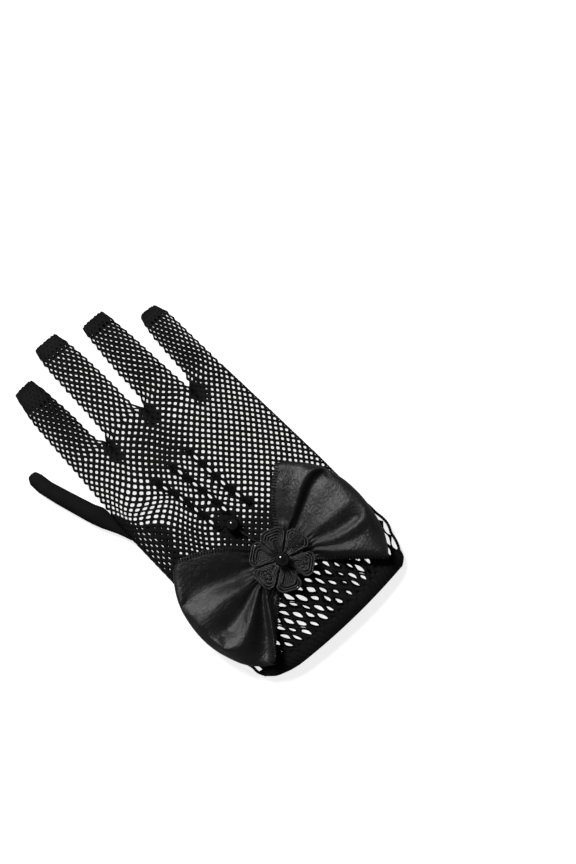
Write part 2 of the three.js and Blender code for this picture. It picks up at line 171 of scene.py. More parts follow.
def tube(path, radius, sides=8, closed=False):
    """A tube along a path with a low cone on each open end; radius is a number or one for each point."""
    path = np.asarray(path, dtype=float)
    n = len(path)
    if closed:
        tangent = unit(np.roll(path, -1, axis=0) - np.roll(path, 1, axis=0))
    else:
        tangent = unit(np.gradient(path, axis=0))
    side = np.cross(tangent, UP)
    upright = np.linalg.norm(side, axis=1) < 0.2
    side[upright] = np.cross(tangent[upright], np.array([0, 1.0, 0]))
    side = unit(side)
    over = np.cross(side, tangent)
    angle = np.linspace(0, TAU, sides, endpoint=False)
    radius = np.broadcast_to(radius, (n,))[:, None]
    across = side[:, None, :] * (np.cos(angle) * radius)[:, :, None]
    above = over[:, None, :] * (np.sin(angle) * radius)[:, :, None]
    points = (path[:, None, :] + across + above).reshape(-1, 3)
    faces = grid_faces(n, sides, close_rows=closed, close_cols=True, flip=True)
    if closed:
        return points, faces
    caps = []
    for row, cone in ((0, -0.4), (n - 1, 0.4)):
        ring = row * sides + np.arange(sides + 1) % sides
        centre = len(points)
        points = np.vstack([points, path[row] + tangent[row] * cone * radius[row]])
        for k in range(0, sides, 2):
            a, b, c = ring[k:k + 3]
            caps.append([centre, a, b, c] if row == 0 else [centre, c, b, a])
    return points, np.vstack([faces, np.array(caps)])


# Tables of the glove: (y, left, right, height) of the palm, of each finger, the cuff, hem and thumb.
PALM = np.array([
    (-110, -46.9, 53.6, 9), (-66.3, -46.9, 53.6, 9), (-45.9, -46.9, 51.5, 9), (-23, -47.4, 50, 9),
    (10.2, -49, 46.9, 9), (30.6, -48.5, 44.9, 8.6), (46.4, -48.4, 43.4, 7.7),
])
FINGERS = [
    np.array([
        (20, -48.8, -26.7, 8.4), (53.2, -48.4, -26.7, 7.5), (54.8, -48.4, -28.0, 7.5),
        (56, -48.5, -28.8, 7.5), (60, -48.5, -30.1, 7.5), (76.5, -48.6, -31.1, 7.4),
        (86, -48.4, -32.3, 7.2), (95, -47, -33.7, 5.6), (102, -46.2, -34.8, 2.4),
    ]),
    np.array([
        (20, -26.7, -0.9, 8.4), (53.2, -26.7, -0.8, 7.6), (54.8, -25.4, -1.0, 7.6),
        (57, -24.6, -3.1, 7.6), (61.2, -24.5, -4.3, 7.6), (76.5, -24.7, -5.1, 7.6),
        (96, -25, -7, 7.2), (105, -24.6, -8.5, 5.6), (112.6, -23.8, -10, 2.4),
    ]),
    np.array([
        (20, -0.9, 23.9, 8.4), (46.4, -0.8, 23.8, 7.6), (49.5, -0.8, 22.8, 7.6), (54.6, -0.6, 22.1, 7.6),
        (57, 0.8, 21.8, 7.6), (61.2, 1.3, 21.4, 7.6), (76.5, 0.8, 19.6, 7.5), (89.3, 1, 18.1, 7.2),
        (98, 1.5, 16.9, 5.6), (105.6, 2, 15.6, 2.4),
    ]),
    np.array([
        (20, 23.9, 46, 8.4), (46.4, 23.8, 43.4, 7.4), (49.5, 25.3, 43.2, 7.4), (54, 26.6, 42.9, 7.4),
        (66.3, 26.5, 41.8, 7.3), (76.5, 26.4, 41.1, 6.8), (84, 27, 40.4, 5.2), (90.6, 28.4, 38, 2.4),
    ]),
]
HEM_ROWS = np.array([(-97.3, -37.6, 44.8, 8.4), (-94.4, -42.0, 48.2, 8.8), (-89.9, -43.6, 49.8, 9)])
CUFF_ROWS = np.array([
    (-89.2, -43.6, 49.8, 9), (-76.5, -45.9, 53.1, 9), (-66.3, -46.9, 53.6, 9), (-53.9, -46.9, 52.4, 9),
])
THUMB = np.array([
    (7, -49.8, -48.95, 5.0), (10, -51.0, -48.95, 5.4), (14.3, -53, -48.95, 5.6),
    (21.4, -57.1, -48.95, 5.6), (26, -59.2, -48.9, 5.6), (29, -60.4, -49.5, 5.6),
    (33.2, -61.9, -51.9, 5.6), (45.9, -66.4, -57, 5.6), (56.1, -69.5, -60.9, 5.2),
    (62.2, -70.1, -62.2, 4.2), (65.0, -68.9, -63.4, 3.0), (65.8, -68, -64.2, 2.2),
])
SEAM_LINES = [
    np.array([(-21.2, 21.4), (-19.4, 15.2), (-16.7, 5.9), (-14.7, -3.5), (-13.2, -13.0), (-12, -19.4)]),
    np.array([(-9.9, 23), (-8.5, 16.4), (-6.9, 6.9), (-5.3, -2.7), (-3.9, -12.0), (-3.4, -16.2)]),
    np.array([(1.4, 23), (2.3, 17.0), (3.1, 7.6), (4.2, -1.9), (5.8, -11.6), (8.9, -19.4)]),
]
EYELETS = np.concatenate([line[1:5] for line in SEAM_LINES])
FOLD_LEVEL = 0.42


def outline(rows, y):
    """Left edge, right edge and height at each y of a table."""
    return [np.interp(y, rows[:, 0], rows[:, k]) for k in (1, 2, 3)]


def between(left, right, t):
    """Place across the glove for t from -1 to 1."""
    return (left + right) / 2 + (right - left) / 2 * t


def crowded(t, share):
    """Moves places from -1 to 1 together near the side folds."""
    return (1 - share) * t + share * np.sin(np.pi / 2 * t)


def dome(t, height):
    """Height of the upper side of the glove."""
    fold = FOLD_LEVEL * height
    return fold + (height - fold) * np.clip(1 - np.abs(t) ** 2.5, 0, None) ** 0.4


def underside(t, half, height):
    """Height of the lower side, flat with rounded corners."""
    fold = FOLD_LEVEL * height
    corner = np.minimum(3.2, 0.4 * half)
    c = np.clip((np.abs(t) * half - (half - corner)) / corner, 0, 1)
    return fold - fold * np.sqrt(np.clip(1 - c * c, 0, 1))


def layers(t, left, right, height, inset_top, inset_low):
    """Heights of the upper and the lower layer, moved in from the sides of the glove."""
    top = dome(t, height) - inset_top
    return top, np.minimum(underside(t, (right - left) / 2, height) + inset_low, top)


def seen_behind(x, y, top, low, side):
    """Spreads the lower layer so that the camera sees its points behind those of the upper one."""
    k = (top - low) * (side < 0) / (EYE[2] - top)
    return x + (x - EYE[0]) * k, y + (y - EYE[1]) * k, np.where(side > 0, top, low)


def blob(x, y, cx, cy, rx, ry, soft=0.25):
    """A round patch with a soft rim."""
    r = np.sqrt(((x - cx) / rx) ** 2 + ((y - cy) / ry) ** 2)
    return 1 - smooth01(1 - soft, 1 + soft, r)


def patches(x, y, rows):
    """Sum of round patches: amount, centre, reach in x and y, softness of the rim."""
    return sum(amount * blob(x, y, *place) for amount, *place in rows)


# The lattice of the hand: columns run across it and rows up it, in steps of half a mesh.
HAND_COLS = 52
FINGER_COLS = 13
WRIST = -53.6
ROW_STEP = 2.13
TIPS = np.array([102.0, 112.6, 105.6, 90.6])
FIRST_ROW = np.array([50, 50, 50, 47])
TIP_ROW = np.array([72, 77, 74, 67])
KNOT_WANDER = 0.13
CUFF_WANDER = 0.82
JITTER = RNG.uniform(-1, 1, size=(2, 60, 90))


def jitter(i, j, amount):
    """A small wander of the knots, the same in both layers."""
    i = np.clip(i, 0, 58.999)
    j = np.clip(j, 0, 88.999)
    a = np.floor(i).astype(int)
    b = np.floor(j).astype(int)
    u = i - a
    v = j - b
    low = JITTER[:, a, b] * (1 - u) * (1 - v) + JITTER[:, a + 1, b] * u * (1 - v)
    high = JITTER[:, a, b + 1] * (1 - u) * v + JITTER[:, a + 1, b + 1] * u * v
    return (low + high) * amount


# Places where the net is pulled: centre, reach, strain along and across a direction, and its angle.
PULLS = [
    (-35.0, 13.0, 9.5, 0.74, -0.32, -15.0),
    (-27.0, 3.0, 7.0, 0.14, 0.02, -40.0),
    (-11.0, 26.5, 6.0, -0.16, -0.12, -20.0),
    (-26.0, -15.0, 9.0, -0.26, 0.05, 10.0),
]


def pull(x, y):
    """Moves points of the net where the fabric is stretched."""
    dx = np.zeros_like(x)
    dy = np.zeros_like(y)
    for cx, cy, reach, along, across, angle in PULLS:
        c = math.cos(math.radians(angle))
        s = math.sin(math.radians(angle))
        u = (x - cx) * c + (y - cy) * s
        v = -(x - cx) * s + (y - cy) * c
        g = np.exp(-(u * u + v * v) / (2 * reach * reach))
        dx += g * (u * along * c - v * across * s)
        dy += g * (u * along * s + v * across * c)
    return x + dx, y + dy


EYELET_MOVES = []


def open_eyelets(x, y):
    """Moves the nearest meshes onto the eyelets of the seams, and spreads the net there."""
    dx = np.zeros_like(x)
    dy = np.zeros_like(y)
    for cx, cy, mx, my in EYELET_MOVES:
        near = np.exp(-(((x - cx) / 2.6) ** 2 + ((y - cy) / 3.4) ** 2) / 2)
        wide = np.exp(-(((x - cx) / 4.6) ** 2 + ((y - cy) / 3.6) ** 2) / 2)
        dx += mx * near + 0.16 * (x - cx) * wide
        dy += my * near
    return x + dx, y + dy


def hand_plan(i, j, finger):
    """Plan place of a lattice point before the pulls, its place across hand and finger, and finger size."""
    first = FIRST_ROW[finger]
    tip = TIPS[finger]
    y0 = WRIST + ROW_STEP * first
    pitch = (tip - y0) / (TIP_ROW[finger] - first)
    y = np.where(j <= first, WRIST + ROW_STEP * j, np.minimum(y0 + (j - first) * pitch, tip))
    t = (i - HAND_COLS / 2) / (HAND_COLS / 2)
    u = (i - FINGER_COLS * finger) / (FINGER_COLS / 2) - 1
    left, right, _ = outline(PALM, y)
    x_palm = between(left, right, crowded(t, 0.175))
    sizes = np.zeros((3,) + y.shape)
    for f in range(len(FINGERS)):
        here = finger == f
        sizes[:, here] = outline(FINGERS[f], y[here])
    left, right, height = sizes
    x_finger = between(left, right, crowded(u, 0.26))
    w = smooth01(24, 50, y)
    return x_palm * (1 - w) + x_finger * w, y, t, u, right - left, height


# How far up the fingers the lower layer has slipped: share, first and last row, and some patches.
SLIP_SHARE = np.array([0.86, 0.6, 0.82, 0.95])
SLIP_START = np.array([52.0, 56.0, 54.0, 46.0])
SLIP_END = np.array([68.0, 76.0, 68.0, 56.0])
SLIP_PATCHES = [(0.7, 12, 48, 11, 6, 0.8), (0.5, -6, 37, 12, 10, 0.8), (0.3, -40, -6, 8, 16, 0.5)]


def layer_slip(x, y, finger):
    """How far the lower layer has slipped against the upper one."""
    slip = SLIP_SHARE[finger] * smooth01(SLIP_START[finger], SLIP_END[finger], y)
    slip = slip * np.where(finger == 0, smooth01(-48.5, -41, x), 1)
    return slip + patches(x, y, SLIP_PATCHES)


def hand_surface(i, j, side, finger):
    """Place of a lattice point on the back (side 1) or the palm side (side -1)."""
    x, y, t, u, finger_w, finger_h = hand_plan(i, j, finger)
    jx, jy = jitter(i, j, KNOT_WANDER)
    x = x + jx * np.minimum(1, 3 * (1 - np.abs(t)))
    y = y + jy
    inside = smooth01(0, 0.34, 1 - np.abs(t)) * (1 - smooth01(38, 50, y))
    px, py = open_eyelets(*pull(x, y))
    x = x + (px - x) * inside
    y = y + (py - y) * inside
    left, right, palm_h = outline(PALM, y)
    crotch = np.interp(i, [0, 13, 26, 39, 52], [53.6, 53.6, 54.5, 46.5, 46.5])
    web = smooth01(0, 1, (y - (crotch - 15)) / 15)
    top = dome(t, palm_h) * (1 - web) + dome(u, finger_h) * web
    low = underside(t, (right - left) / 2, palm_h) * (1 - web) + underside(u, finger_w / 2, finger_h) * web
    past = np.clip(y - (TIPS[finger] - 2.2), 0, 2.2) / 2.2
    close = np.sqrt(np.clip(1 - past ** 2, 0, 1))
    mid = (top + low) / 2
    top = np.maximum(mid + (top - mid) * close - 0.5, 0.62)
    low = np.minimum(mid + (low - mid) * close + 0.62, top)
    slip = layer_slip(x, y, finger) * (side < 0) * (1 - np.abs(u) ** 4 * web) * (1 - np.abs(t) ** 6)
    x, y, z = seen_behind(x, y, top, low, side)
    return x + slip * 0.35, y + slip, z


# The rings of the hand: first and last column, first and last row, and the finger or -1 for the palm.
HAND_RINGS = [
    (0, 52, 0, 47, -1), (0, 39, 47, 50, -1), (39, 52, 47, 68, 3),
    (0, 13, 50, 73, 0), (13, 26, 50, 78, 1), (26, 39, 50, 75, 2),
]


def unroll(row, ring):
    """Column and side of a place on a ring, which runs out on the upper side and back on the lower."""
    first, last = row[:2]
    n = last - first
    ring = np.mod(ring, 2 * n)
    on_top = ring <= n
    return np.where(on_top, first + ring, 2 * last - first - ring), np.where(on_top, 1, -1)


def ring_finger(row, i):
    """The finger whose columns hold i."""
    if row[4] < 0:
        return np.clip(np.floor(i / FINGER_COLS), 0, (row[1] - 1) // FINGER_COLS).astype(int)
    return np.full(i.shape, row[4])


def hand_at(row, ring, j):
    i, side = unroll(row, ring)
    return np.stack(hand_surface(i, j, side, ring_finger(row, i)), axis=-1)


def cell_places(row):
    """Centres of the meshes on a ring, which are every other point of the lattice."""
    first, last, low, high, _ = row
    ring, j = np.meshgrid(np.arange(2 * (last - first)), np.arange(low, high), indexing="ij")
    keep = (ring + first + j) % 2 == 1
    return ring[keep].astype(float), j[keep].astype(float)


SHOULDER_PLACE = 0.55
SHOULDER_HEIGHT = 0.74
NUDGE = 0.12
JOIN_DISTANCE = 0.002


def net_cells(at, row, ring, j, wide, tall, power, full, per_side, thick, knot):
    """Five loops around each mesh of the net: ridge, shoulder, hole, shoulder, ridge."""
    t = np.arange(per_side) / per_side
    ridge_r = np.concatenate([1 - t, -t, t - 1, t])
    ridge_j = np.concatenate([t, 1 - t, -t, t - 1])
    p = power[:, None]
    size = (np.abs(ridge_r) ** p + np.abs(ridge_j) ** p) ** (-1 / p)
    hole_r = ridge_r * size * wide[:, None]
    hole_j = ridge_j * size * tall[:, None]
    shape = hole_r.shape
    ridge_r = np.broadcast_to(ridge_r, shape)
    ridge_j = np.broadcast_to(ridge_j, shape)
    mid_r = ridge_r * SHOULDER_PLACE + hole_r * (1 - SHOULDER_PLACE)
    mid_j = ridge_j * SHOULDER_PLACE + hole_j * (1 - SHOULDER_PLACE)
    at_knot = np.arange(4 * per_side) % per_side == 0
    height = np.broadcast_to(np.where(at_knot, knot, thick), shape)
    full = np.broadcast_to(full[:, None], shape)
    loops = [
        (ridge_r, ridge_j, height),
        (mid_r, mid_j, height * (SHOULDER_HEIGHT + 0.16 * full)),
        (hole_r, hole_j, full * 0.3),
        (mid_r, mid_j, -height * SHOULDER_HEIGHT),
        (ridge_r, ridge_j, -height),
    ]
    rr, jj, hh = [np.stack(column, axis=1) for column in zip(*loops)]
    rr = rr + ring[:, None, None]
    jj = jj + j[:, None, None]
    du = at(row, rr + NUDGE, jj) - at(row, rr - NUDGE, jj)
    dv = at(row, rr, jj + NUDGE) - at(row, rr, jj - NUDGE)
    return at(row, rr, jj) + unit(np.cross(du, dv)) * hh[..., None]


def net_object(name, blocks):
    """Joins the cells into one mesh, with the ridges shared between neighbours."""
    points = []
    faces = []
    count = 0
    for block in blocks:
        index = np.arange(block[..., 0].size).reshape(block.shape[:3]) + count
        a = index[:, :-1]
        b = index[:, 1:]
        corners = [a, np.roll(a, -1, axis=2), np.roll(b, -1, axis=2), b]
        faces.append(np.stack(corners, axis=-1).reshape(-1, 4))
        points.append(block.reshape(-1, 3))
        count += index.size
    points = np.concatenate(points)
    key = np.round(points / JOIN_DISTANCE).astype(np.int64)
    _, first, back = np.unique(key, axis=0, return_index=True, return_inverse=True)
    faces = back.reshape(-1)[np.concatenate(faces)]
    whole = (np.diff(np.sort(faces, axis=1), axis=1) > 0).all(axis=1)
    return add_mesh(name, points[first], faces[whole])


# How open the net is from place to place, as the share of a mesh that is a hole.
OPEN_BASE = 0.433
OPEN_PATCHES = [
    (-0.04, -11, 37, 14, 13, 0.5), (0.06, -36, 16, 12, 14, 0.5), (-0.11, -9, 26.5, 12, 4.6, 0.5),
    (0.09, 12, 46, 11, 6, 0.5), (-0.03, 35, 42, 6, 5, 0.5), (-0.03, -36, 66, 8, 16, 0.6),
    (-0.13, -27, -12, 9, 9, 0.5),
]
CLOSED_PATCHES = [
    (-27.0, 47.6, 3.7, 7.0), (-0.6, 49.6, 4.2, 5.8), (25.4, 42.0, 4.2, 5.8),
    (-7.0, -20.5, 6.4, 9.0, 0.35),
]
GUSSET_PATCHES = [(1, -43.2, -4.0, 4.4, 14.0, 0.3), (0.34, -35.6, -5.0, 4.2, 8.0, 0.5)]
GUSSET_EDGE_Y = [-30, -20, -14, -8, -5, -0.5, 7.1, 13.3, 22.4]
GUSSET_EDGE_X = [-38, -37.5, -36, -35, -33.5, -31.6, -39.0, -44.0, -47.2]
FINGER_START = np.array([44.0, 44.0, 46.0, 34.0])
FINGER_CLOSE = np.array([0.045, 0.01, 0.005, 0.05])
FINGER_OPEN = np.array([0.0, 0.045, 0.06, 0.0])
DENSE_TIPS = np.array([90.8, 106.0, 101.0, 85.7])
TIP_CLOSE = np.array([0.60, 0.35, 0.30, 0.15])


def mesh_spread(x, y):
    """Small even differences from mesh to mesh."""
    a = np.sin(x * 12.9898 + y * 78.233) * 43758.5453
    return 0.05 * (a - np.floor(a) - 0.5)


def seam_distance(x, y):
    """Distance from the nearest point seam."""
    best = np.full(x.shape, np.inf)
    for line in SEAM_LINES:
        for a, b in zip(line[:-1], line[1:]):
            d = b - a
            t = np.clip(((x - a[0]) * d[0] + (y - a[1]) * d[1]) / (d @ d), 0, 1)
            best = np.minimum(best, np.hypot(x - a[0] - t * d[0], y - a[1] - t * d[1]))
    return best


def openness(x, y, finger):
    """Share of each mesh that is a hole, from nearly none in the dense places."""
    start = FINGER_START[finger]
    tips = DENSE_TIPS[finger]
    near_seam = seam_distance(x, y)
    s = OPEN_BASE + patches(x, y, OPEN_PATCHES) + mesh_spread(x, y)
    s -= FINGER_CLOSE[finger] * smooth01(start, start + 14, y)
    s += 0.045 * (finger == 3) * smooth01(58, 66, y)
    s += FINGER_OPEN[finger] * (smooth01(62, 71, y) - 0.5) * smooth01(50, 56, y)
    s -= 0.16 * smooth01(tips - 22, tips - 4, y) * TIP_CLOSE[finger]
    s -= 0.15 * smooth01(-16, -28, y) * blob(x, y, -5, -34, 26, 17, 0.3)
    s -= 0.12 * smooth01(-21, -31, y) * blob(x, y, -3, -34, 17, 14, 0.4)
    s -= 0.04 * (1 - smooth01(1.6, 3.0, near_seam))
    closed = np.maximum(smooth01(tips - 3.4, tips + 1.6, y), 1 - smooth01(1.0, 1.75, near_seam))
    for place in CLOSED_PATCHES:
        closed = np.maximum(closed, blob(x, y, *place))
    gusset = smooth01(-0.6, 1.0, np.interp(y, GUSSET_EDGE_Y, GUSSET_EDGE_X) - x)
    closed = np.maximum(closed, gusset * (1 - smooth01(21, 24, y)) * smooth01(-46, -40, y))
    return np.clip(s * (1 - closed), 0.02, 0.9)


def hand_blocks():
    """The cells of the back, of the palm side and of the fingers."""
    groups = {"back": [], "palm": [], "fingers": []}
    ring, j = cell_places(HAND_RINGS[0])
    centres = hand_at(HAND_RINGS[0], ring, j)[ring <= HAND_COLS, :2]
    for eyelet in EYELETS:
        nearest = centres[np.argmin(np.hypot(*(centres - eyelet).T))]
        EYELET_MOVES.append((*nearest, *(eyelet - nearest)))
    for row in HAND_RINGS:
        ring, j = cell_places(row)
        x, y, _ = hand_at(row, ring, j).T
        s = openness(x, y, ring_finger(row, unroll(row, ring)[0]))
        on_finger = smooth01(48, 60, y)
        wide = s * (1 - 0.10 * on_finger)
        tall = s * (1 + 0.14 * on_finger)
        power = np.full(s.shape, 1.38)
        if row is HAND_RINGS[0]:
            g = np.clip(patches(x, y, GUSSET_PATCHES), 0, 1)
            wide = wide * (1 - g) + 0.17 * g
            tall = tall * (1 - g) + 0.42 * g
            for ex, ey in EYELETS:
                hit = np.hypot(x - ex, y - ey) < 0.9
                wide[hit] = 0.33
                tall[hit] = 0.70
                power[hit] = 1.7
        full = smooth01(0.16, 0.05, tall)
        cells = (hand_at, row, ring, j, wide, tall, power, full)
        block = net_cells(*cells, per_side=3, thick=0.42, knot=0.54)
        if row is HAND_RINGS[0]:
            groups["back"].append(block[ring < HAND_COLS])
            groups["palm"].append(block[ring >= HAND_COLS])
        else:
            groups["fingers"].append(block)
    return groups


hand = hand_blocks()
# The edge threads of the palm, along its two side folds.
edge_parts = Parts()
for ring, top_row in ((0.0, 35.5), (52.0, 46.5)):
    j = np.arange(0, top_row, 0.25)
    path = resample(hand_at(HAND_RINGS[0], np.full(j.shape, ring), j), 0.5)
    edge_parts.add(*tube(path, 0.40 + 0.06 * np.sin(np.arange(len(path)) * 1.9)))
net_edge = edge_parts.object("net_edge")
net_back = net_object("net_back", hand["back"])
net_palm = net_object("net_palm", hand["palm"])
net_fingers = net_object("net_fingers", hand["fingers"])


# The cuff: wide meshes that lean over, between the wrist and the hem.
CUFF_COLS = 36
CUFF_TOP = -53.9
CUFF_ROW_STEP = 4.6
CUFF_LENGTH = 35.3
CUFF_PATCHES = [
    (0.13, 25, -82.5, 5, 4.5, 0.5), (-0.36, 35, -87.0, 10, 5, 0.4), (-0.5, -33, -89, 8.0, 4.5, 0.4),
    (0.04, -12, -78, 9, 9, 0.5), (-0.08, 15.0, -82, 4.6, 8.5, 0.5), (0.06, 27.0, -77, 6.5, 8.0, 0.5),
    (0.24, 51, -76, 5, 13, 0.4),
]


def hem_rise(x):
    """How far the hem curves up towards both sides."""
    return 0.0014 * (x + 8) ** 2


def cuff_surface(i, j, side):
    """Place of a lattice point of the cuff."""
    half = CUFF_COLS / 2
    y = CUFF_TOP - CUFF_ROW_STEP * j
    t = (i - half) / half
    lean = 0.42 * (1.15 - 0.55 * t) * (j - 7) * (1 - np.abs(t) ** 3)
    crowd = 0.55 * np.exp(-((t - 0.32) / 0.2) ** 2) * smooth01(4.0, 7.5, j)
    t = np.clip((i + lean + crowd - half) / half, -1, 1)
    left, right, height = outline(CUFF_ROWS, y)
    jx, jy = jitter(i + 11.0, j + 40.0, CUFF_WANDER)
    fade = 1 - np.abs(t) ** 4
    x = between(left + 1, right - 1, crowded(t, 0.14)) + jx * fade
    y = np.maximum(y + jy * fade * smooth01(0, 1, j), -92.6)
    y = y + np.clip((CUFF_TOP - y) / CUFF_LENGTH, 0, 1) * hem_rise(x)
    top, low = layers(t, left, right, height, inset_top=0.75, inset_low=0.75)
    x, y, z = seen_behind(x, y, top, low, side)
    slip = (side < 0) * fade
    return x + 0.5 * slip, y + 0.9 * slip, z


def cuff_at(row, ring, j):
    i, side = unroll(row, ring)
    return np.stack(cuff_surface(i, j, side), axis=-1)


cuff_row = (0, CUFF_COLS, 1, 9, 0)
ring, j = cell_places(cuff_row)
x, y, _ = cuff_at(cuff_row, ring, j).T
s = 0.51 + patches(x, y, CUFF_PATCHES) + mesh_spread(x, y) * 5.0
s -= 0.06 * smooth01(0, 12, x) * (1 - smooth01(40, 46, x))
s = np.clip(np.where(j > 7.5, 0.03, s), 0.03, 0.9)
wide = s * (0.86 - 0.14 * smooth01(0, 20, x))
power = np.full(s.shape, 1.5)
full = smooth01(0.2, 0.06, s)
cells = (cuff_at, cuff_row, ring, j, wide, s * 1.16, power, full)
block = net_cells(*cells, per_side=6, thick=0.66, knot=0.84)
cuff = net_object("net_cuff", [block])

# The edge threads of the cuff, which bow out between the meshes on either side.
RIGHT_EDGE = [
    (52.4, -57), (52.9, -60.5), (53.0, -64), (53.9, -67.5), (54.1, -71), (53.4, -74), (52.0, -76.6),
    (51.7, -80), (50.6, -84), (48.7, -87.5), (46.6, -90.2),
]
LEFT_EDGE = [
    (-46.0, -57), (-47.0, -61), (-46.2, -65), (-47.0, -69), (-45.9, -73.5), (-46.5, -78),
    (-44.9, -82), (-45.0, -85.5), (-42.6, -89.5),
]
EDGE_STEP = 0.4
edge_parts = Parts()
for line in (RIGHT_EDGE, LEFT_EDGE):
    path = smooth_path(line, EDGE_STEP)
    s = np.arange(len(path)) * EDGE_STEP
    path = np.column_stack([path, 3.9 + 0.25 * np.sin(s / 2.9)])
    edge_parts.add(*tube(path, 0.72 * (1 + 0.12 * np.sin(TAU * s / 1.3)), sides=10))
cuff_edge = edge_parts.object("cuff_edge")


def ring_band(name, surface, count, profile, thick, ribs):
    """A closed band around the glove: its section is a flattened ring."""
    r = np.linspace(0, 1, count, endpoint=False)
    phi = np.linspace(0, TAU, profile, endpoint=False)
    rr, pp = np.meshgrid(r, phi, indexing="ij")
    v = 0.5 + 0.5 * np.cos(pp)
    du = surface(rr + 0.0015, v) - surface(rr - 0.0015, v)
    dv = surface(rr, np.clip(v + 0.02, 0, 1)) - surface(rr, np.clip(v - 0.02, 0, 1))
    off = thick * np.sin(pp) * (1 + ribs(rr, v))
    points = surface(rr, v) + unit(np.cross(du, dv)) * off[..., None]
    return add_mesh(name, points.reshape(-1, 3), grid_faces(count, profile, close_rows=True, close_cols=True))


def band_surface(rows, r, y, share, inset_top, inset_low, shift=None):
    """Place on a band, r of the way around the glove at y, with shift to move it along the glove."""
    r = np.mod(r, 1.0)
    on_top = r <= 0.5
    t = np.where(on_top, 4 * r - 1, 3 - 4 * r)
    left, right, height = outline(rows, y)
    x = between(left, right, crowded(t, share))
    top, low = layers(t, left, right, height, inset_top, inset_low)
    return np.stack([x, y + shift(x) if shift else y, np.where(on_top, top, low)], axis=-1)


HEM_END = -97.0
HEM_WIDTH = 7.6
BAND_END = -55.6
BAND_WIDTH = 2.6


def hem_surface(r, v):
    def shift(x):
        return hem_rise(x) + 0.012 * np.clip(-24 - x, 0, None) ** 2 * (1 - 0.55 * v)

    y = HEM_END + HEM_WIDTH * v
    return band_surface(HEM_ROWS, r, y, share=0.35, inset_top=0.95, inset_low=0.95, shift=shift)


def hem_ribs(r, v):
    """Slanted stitches with finer threads, and a groove along each edge."""
    stitch = np.sin(TAU * (r * 66 + 0.35 * v))
    fine = np.sin(TAU * (r * 264 - 1.2 * v))
    grooves = 0.22 * np.exp(-((v - 0.80) / 0.05) ** 2) + 0.15 * np.exp(-((v - 0.22) / 0.05) ** 2)
    return 0.16 * stitch + 0.05 * fine - grooves


def wrist_surface(r, v):
    return band_surface(PALM, r, BAND_END + BAND_WIDTH * v, share=0, inset_top=0.6, inset_low=0.62)


def wrist_ribs(r, v):
    return 0.3 * np.sin(TAU * (r * 140 + 0.5 * v))


hem = ring_band("hem", hem_surface, count=760, profile=24, thick=0.86, ribs=hem_ribs)
wrist_band = ring_band("wrist_band", wrist_surface, count=600, profile=10, thick=0.5, ribs=wrist_ribs)


# The thumb: a dense knitted tube along the side of the hand.
THUMB_ROWS = 300
THUMB_COLS = 96
THUMB_START = 7
THUMB_LENGTH = 58.8


def thumb_object(name):
    v = np.linspace(0, 1, THUMB_ROWS)
    a = np.linspace(0, TAU, THUMB_COLS, endpoint=False)
    vv, aa = np.meshgrid(v, a, indexing="ij")
    y = THUMB_START + THUMB_LENGTH * vv
    left, right, high = outline(THUMB, y)
    ca = np.cos(aa)
    sa = np.sin(aa)
    wale = np.sin(aa * 28)
    course = np.sin(TAU * (y / 0.95) + 1.3 * np.abs(np.sin(aa * 14)) * np.pi)
    knit = 0.10 * wale + 0.09 * course * (0.6 + 0.4 * wale)
    fade = smooth01(0, 0.02, vv) * (1 - smooth01(0.985, 1, vv))
    x = between(left, right, np.sign(ca) * np.abs(ca) ** 0.8) + ca * (knit - 0.14) * fade
    z = high / 2 * (1 + np.sign(sa) * np.abs(sa) ** 0.8) + sa * (knit - 0.12) * fade
    shell = np.stack([x, y, np.clip(z, 0.02, None)], axis=-1)
    parts = Parts()
    parts.add(shell.reshape(-1, 3), grid_faces(THUMB_ROWS, THUMB_COLS, close_cols=True, flip=True))
    around = np.arange(0, THUMB_COLS, 2)
    middle = np.full_like(around, THUMB_COLS)
    cap = np.stack([around, around + 1, (around + 2) % THUMB_COLS, middle], axis=1)
    for row, grow in ((0, -0.3), (-1, 0.35)):
        tip = shell[row].mean(axis=0) + (0, grow, 0)
        parts.add(np.vstack([shell[row], tip]), cap if row == 0 else cap[:, ::-1])
    return parts.object(name)


thumb = thumb_object("thumb_knit")


# The point seams: plaited cords that bow out around each eyelet, with ladder stitches between.
PLAIT_PITCH = 1.15
THREAD_PITCH = 0.58
RUNG_PITCH = 0.95
RUNG_HALF = 1.15


def back_height(x, y):
    """Height of the back of the hand."""
    left, right, height = outline(PALM, y)
    across = np.clip((x - (left + right) / 2) / ((right - left) / 2), -0.95, 0.95)
    return dome(across, height)


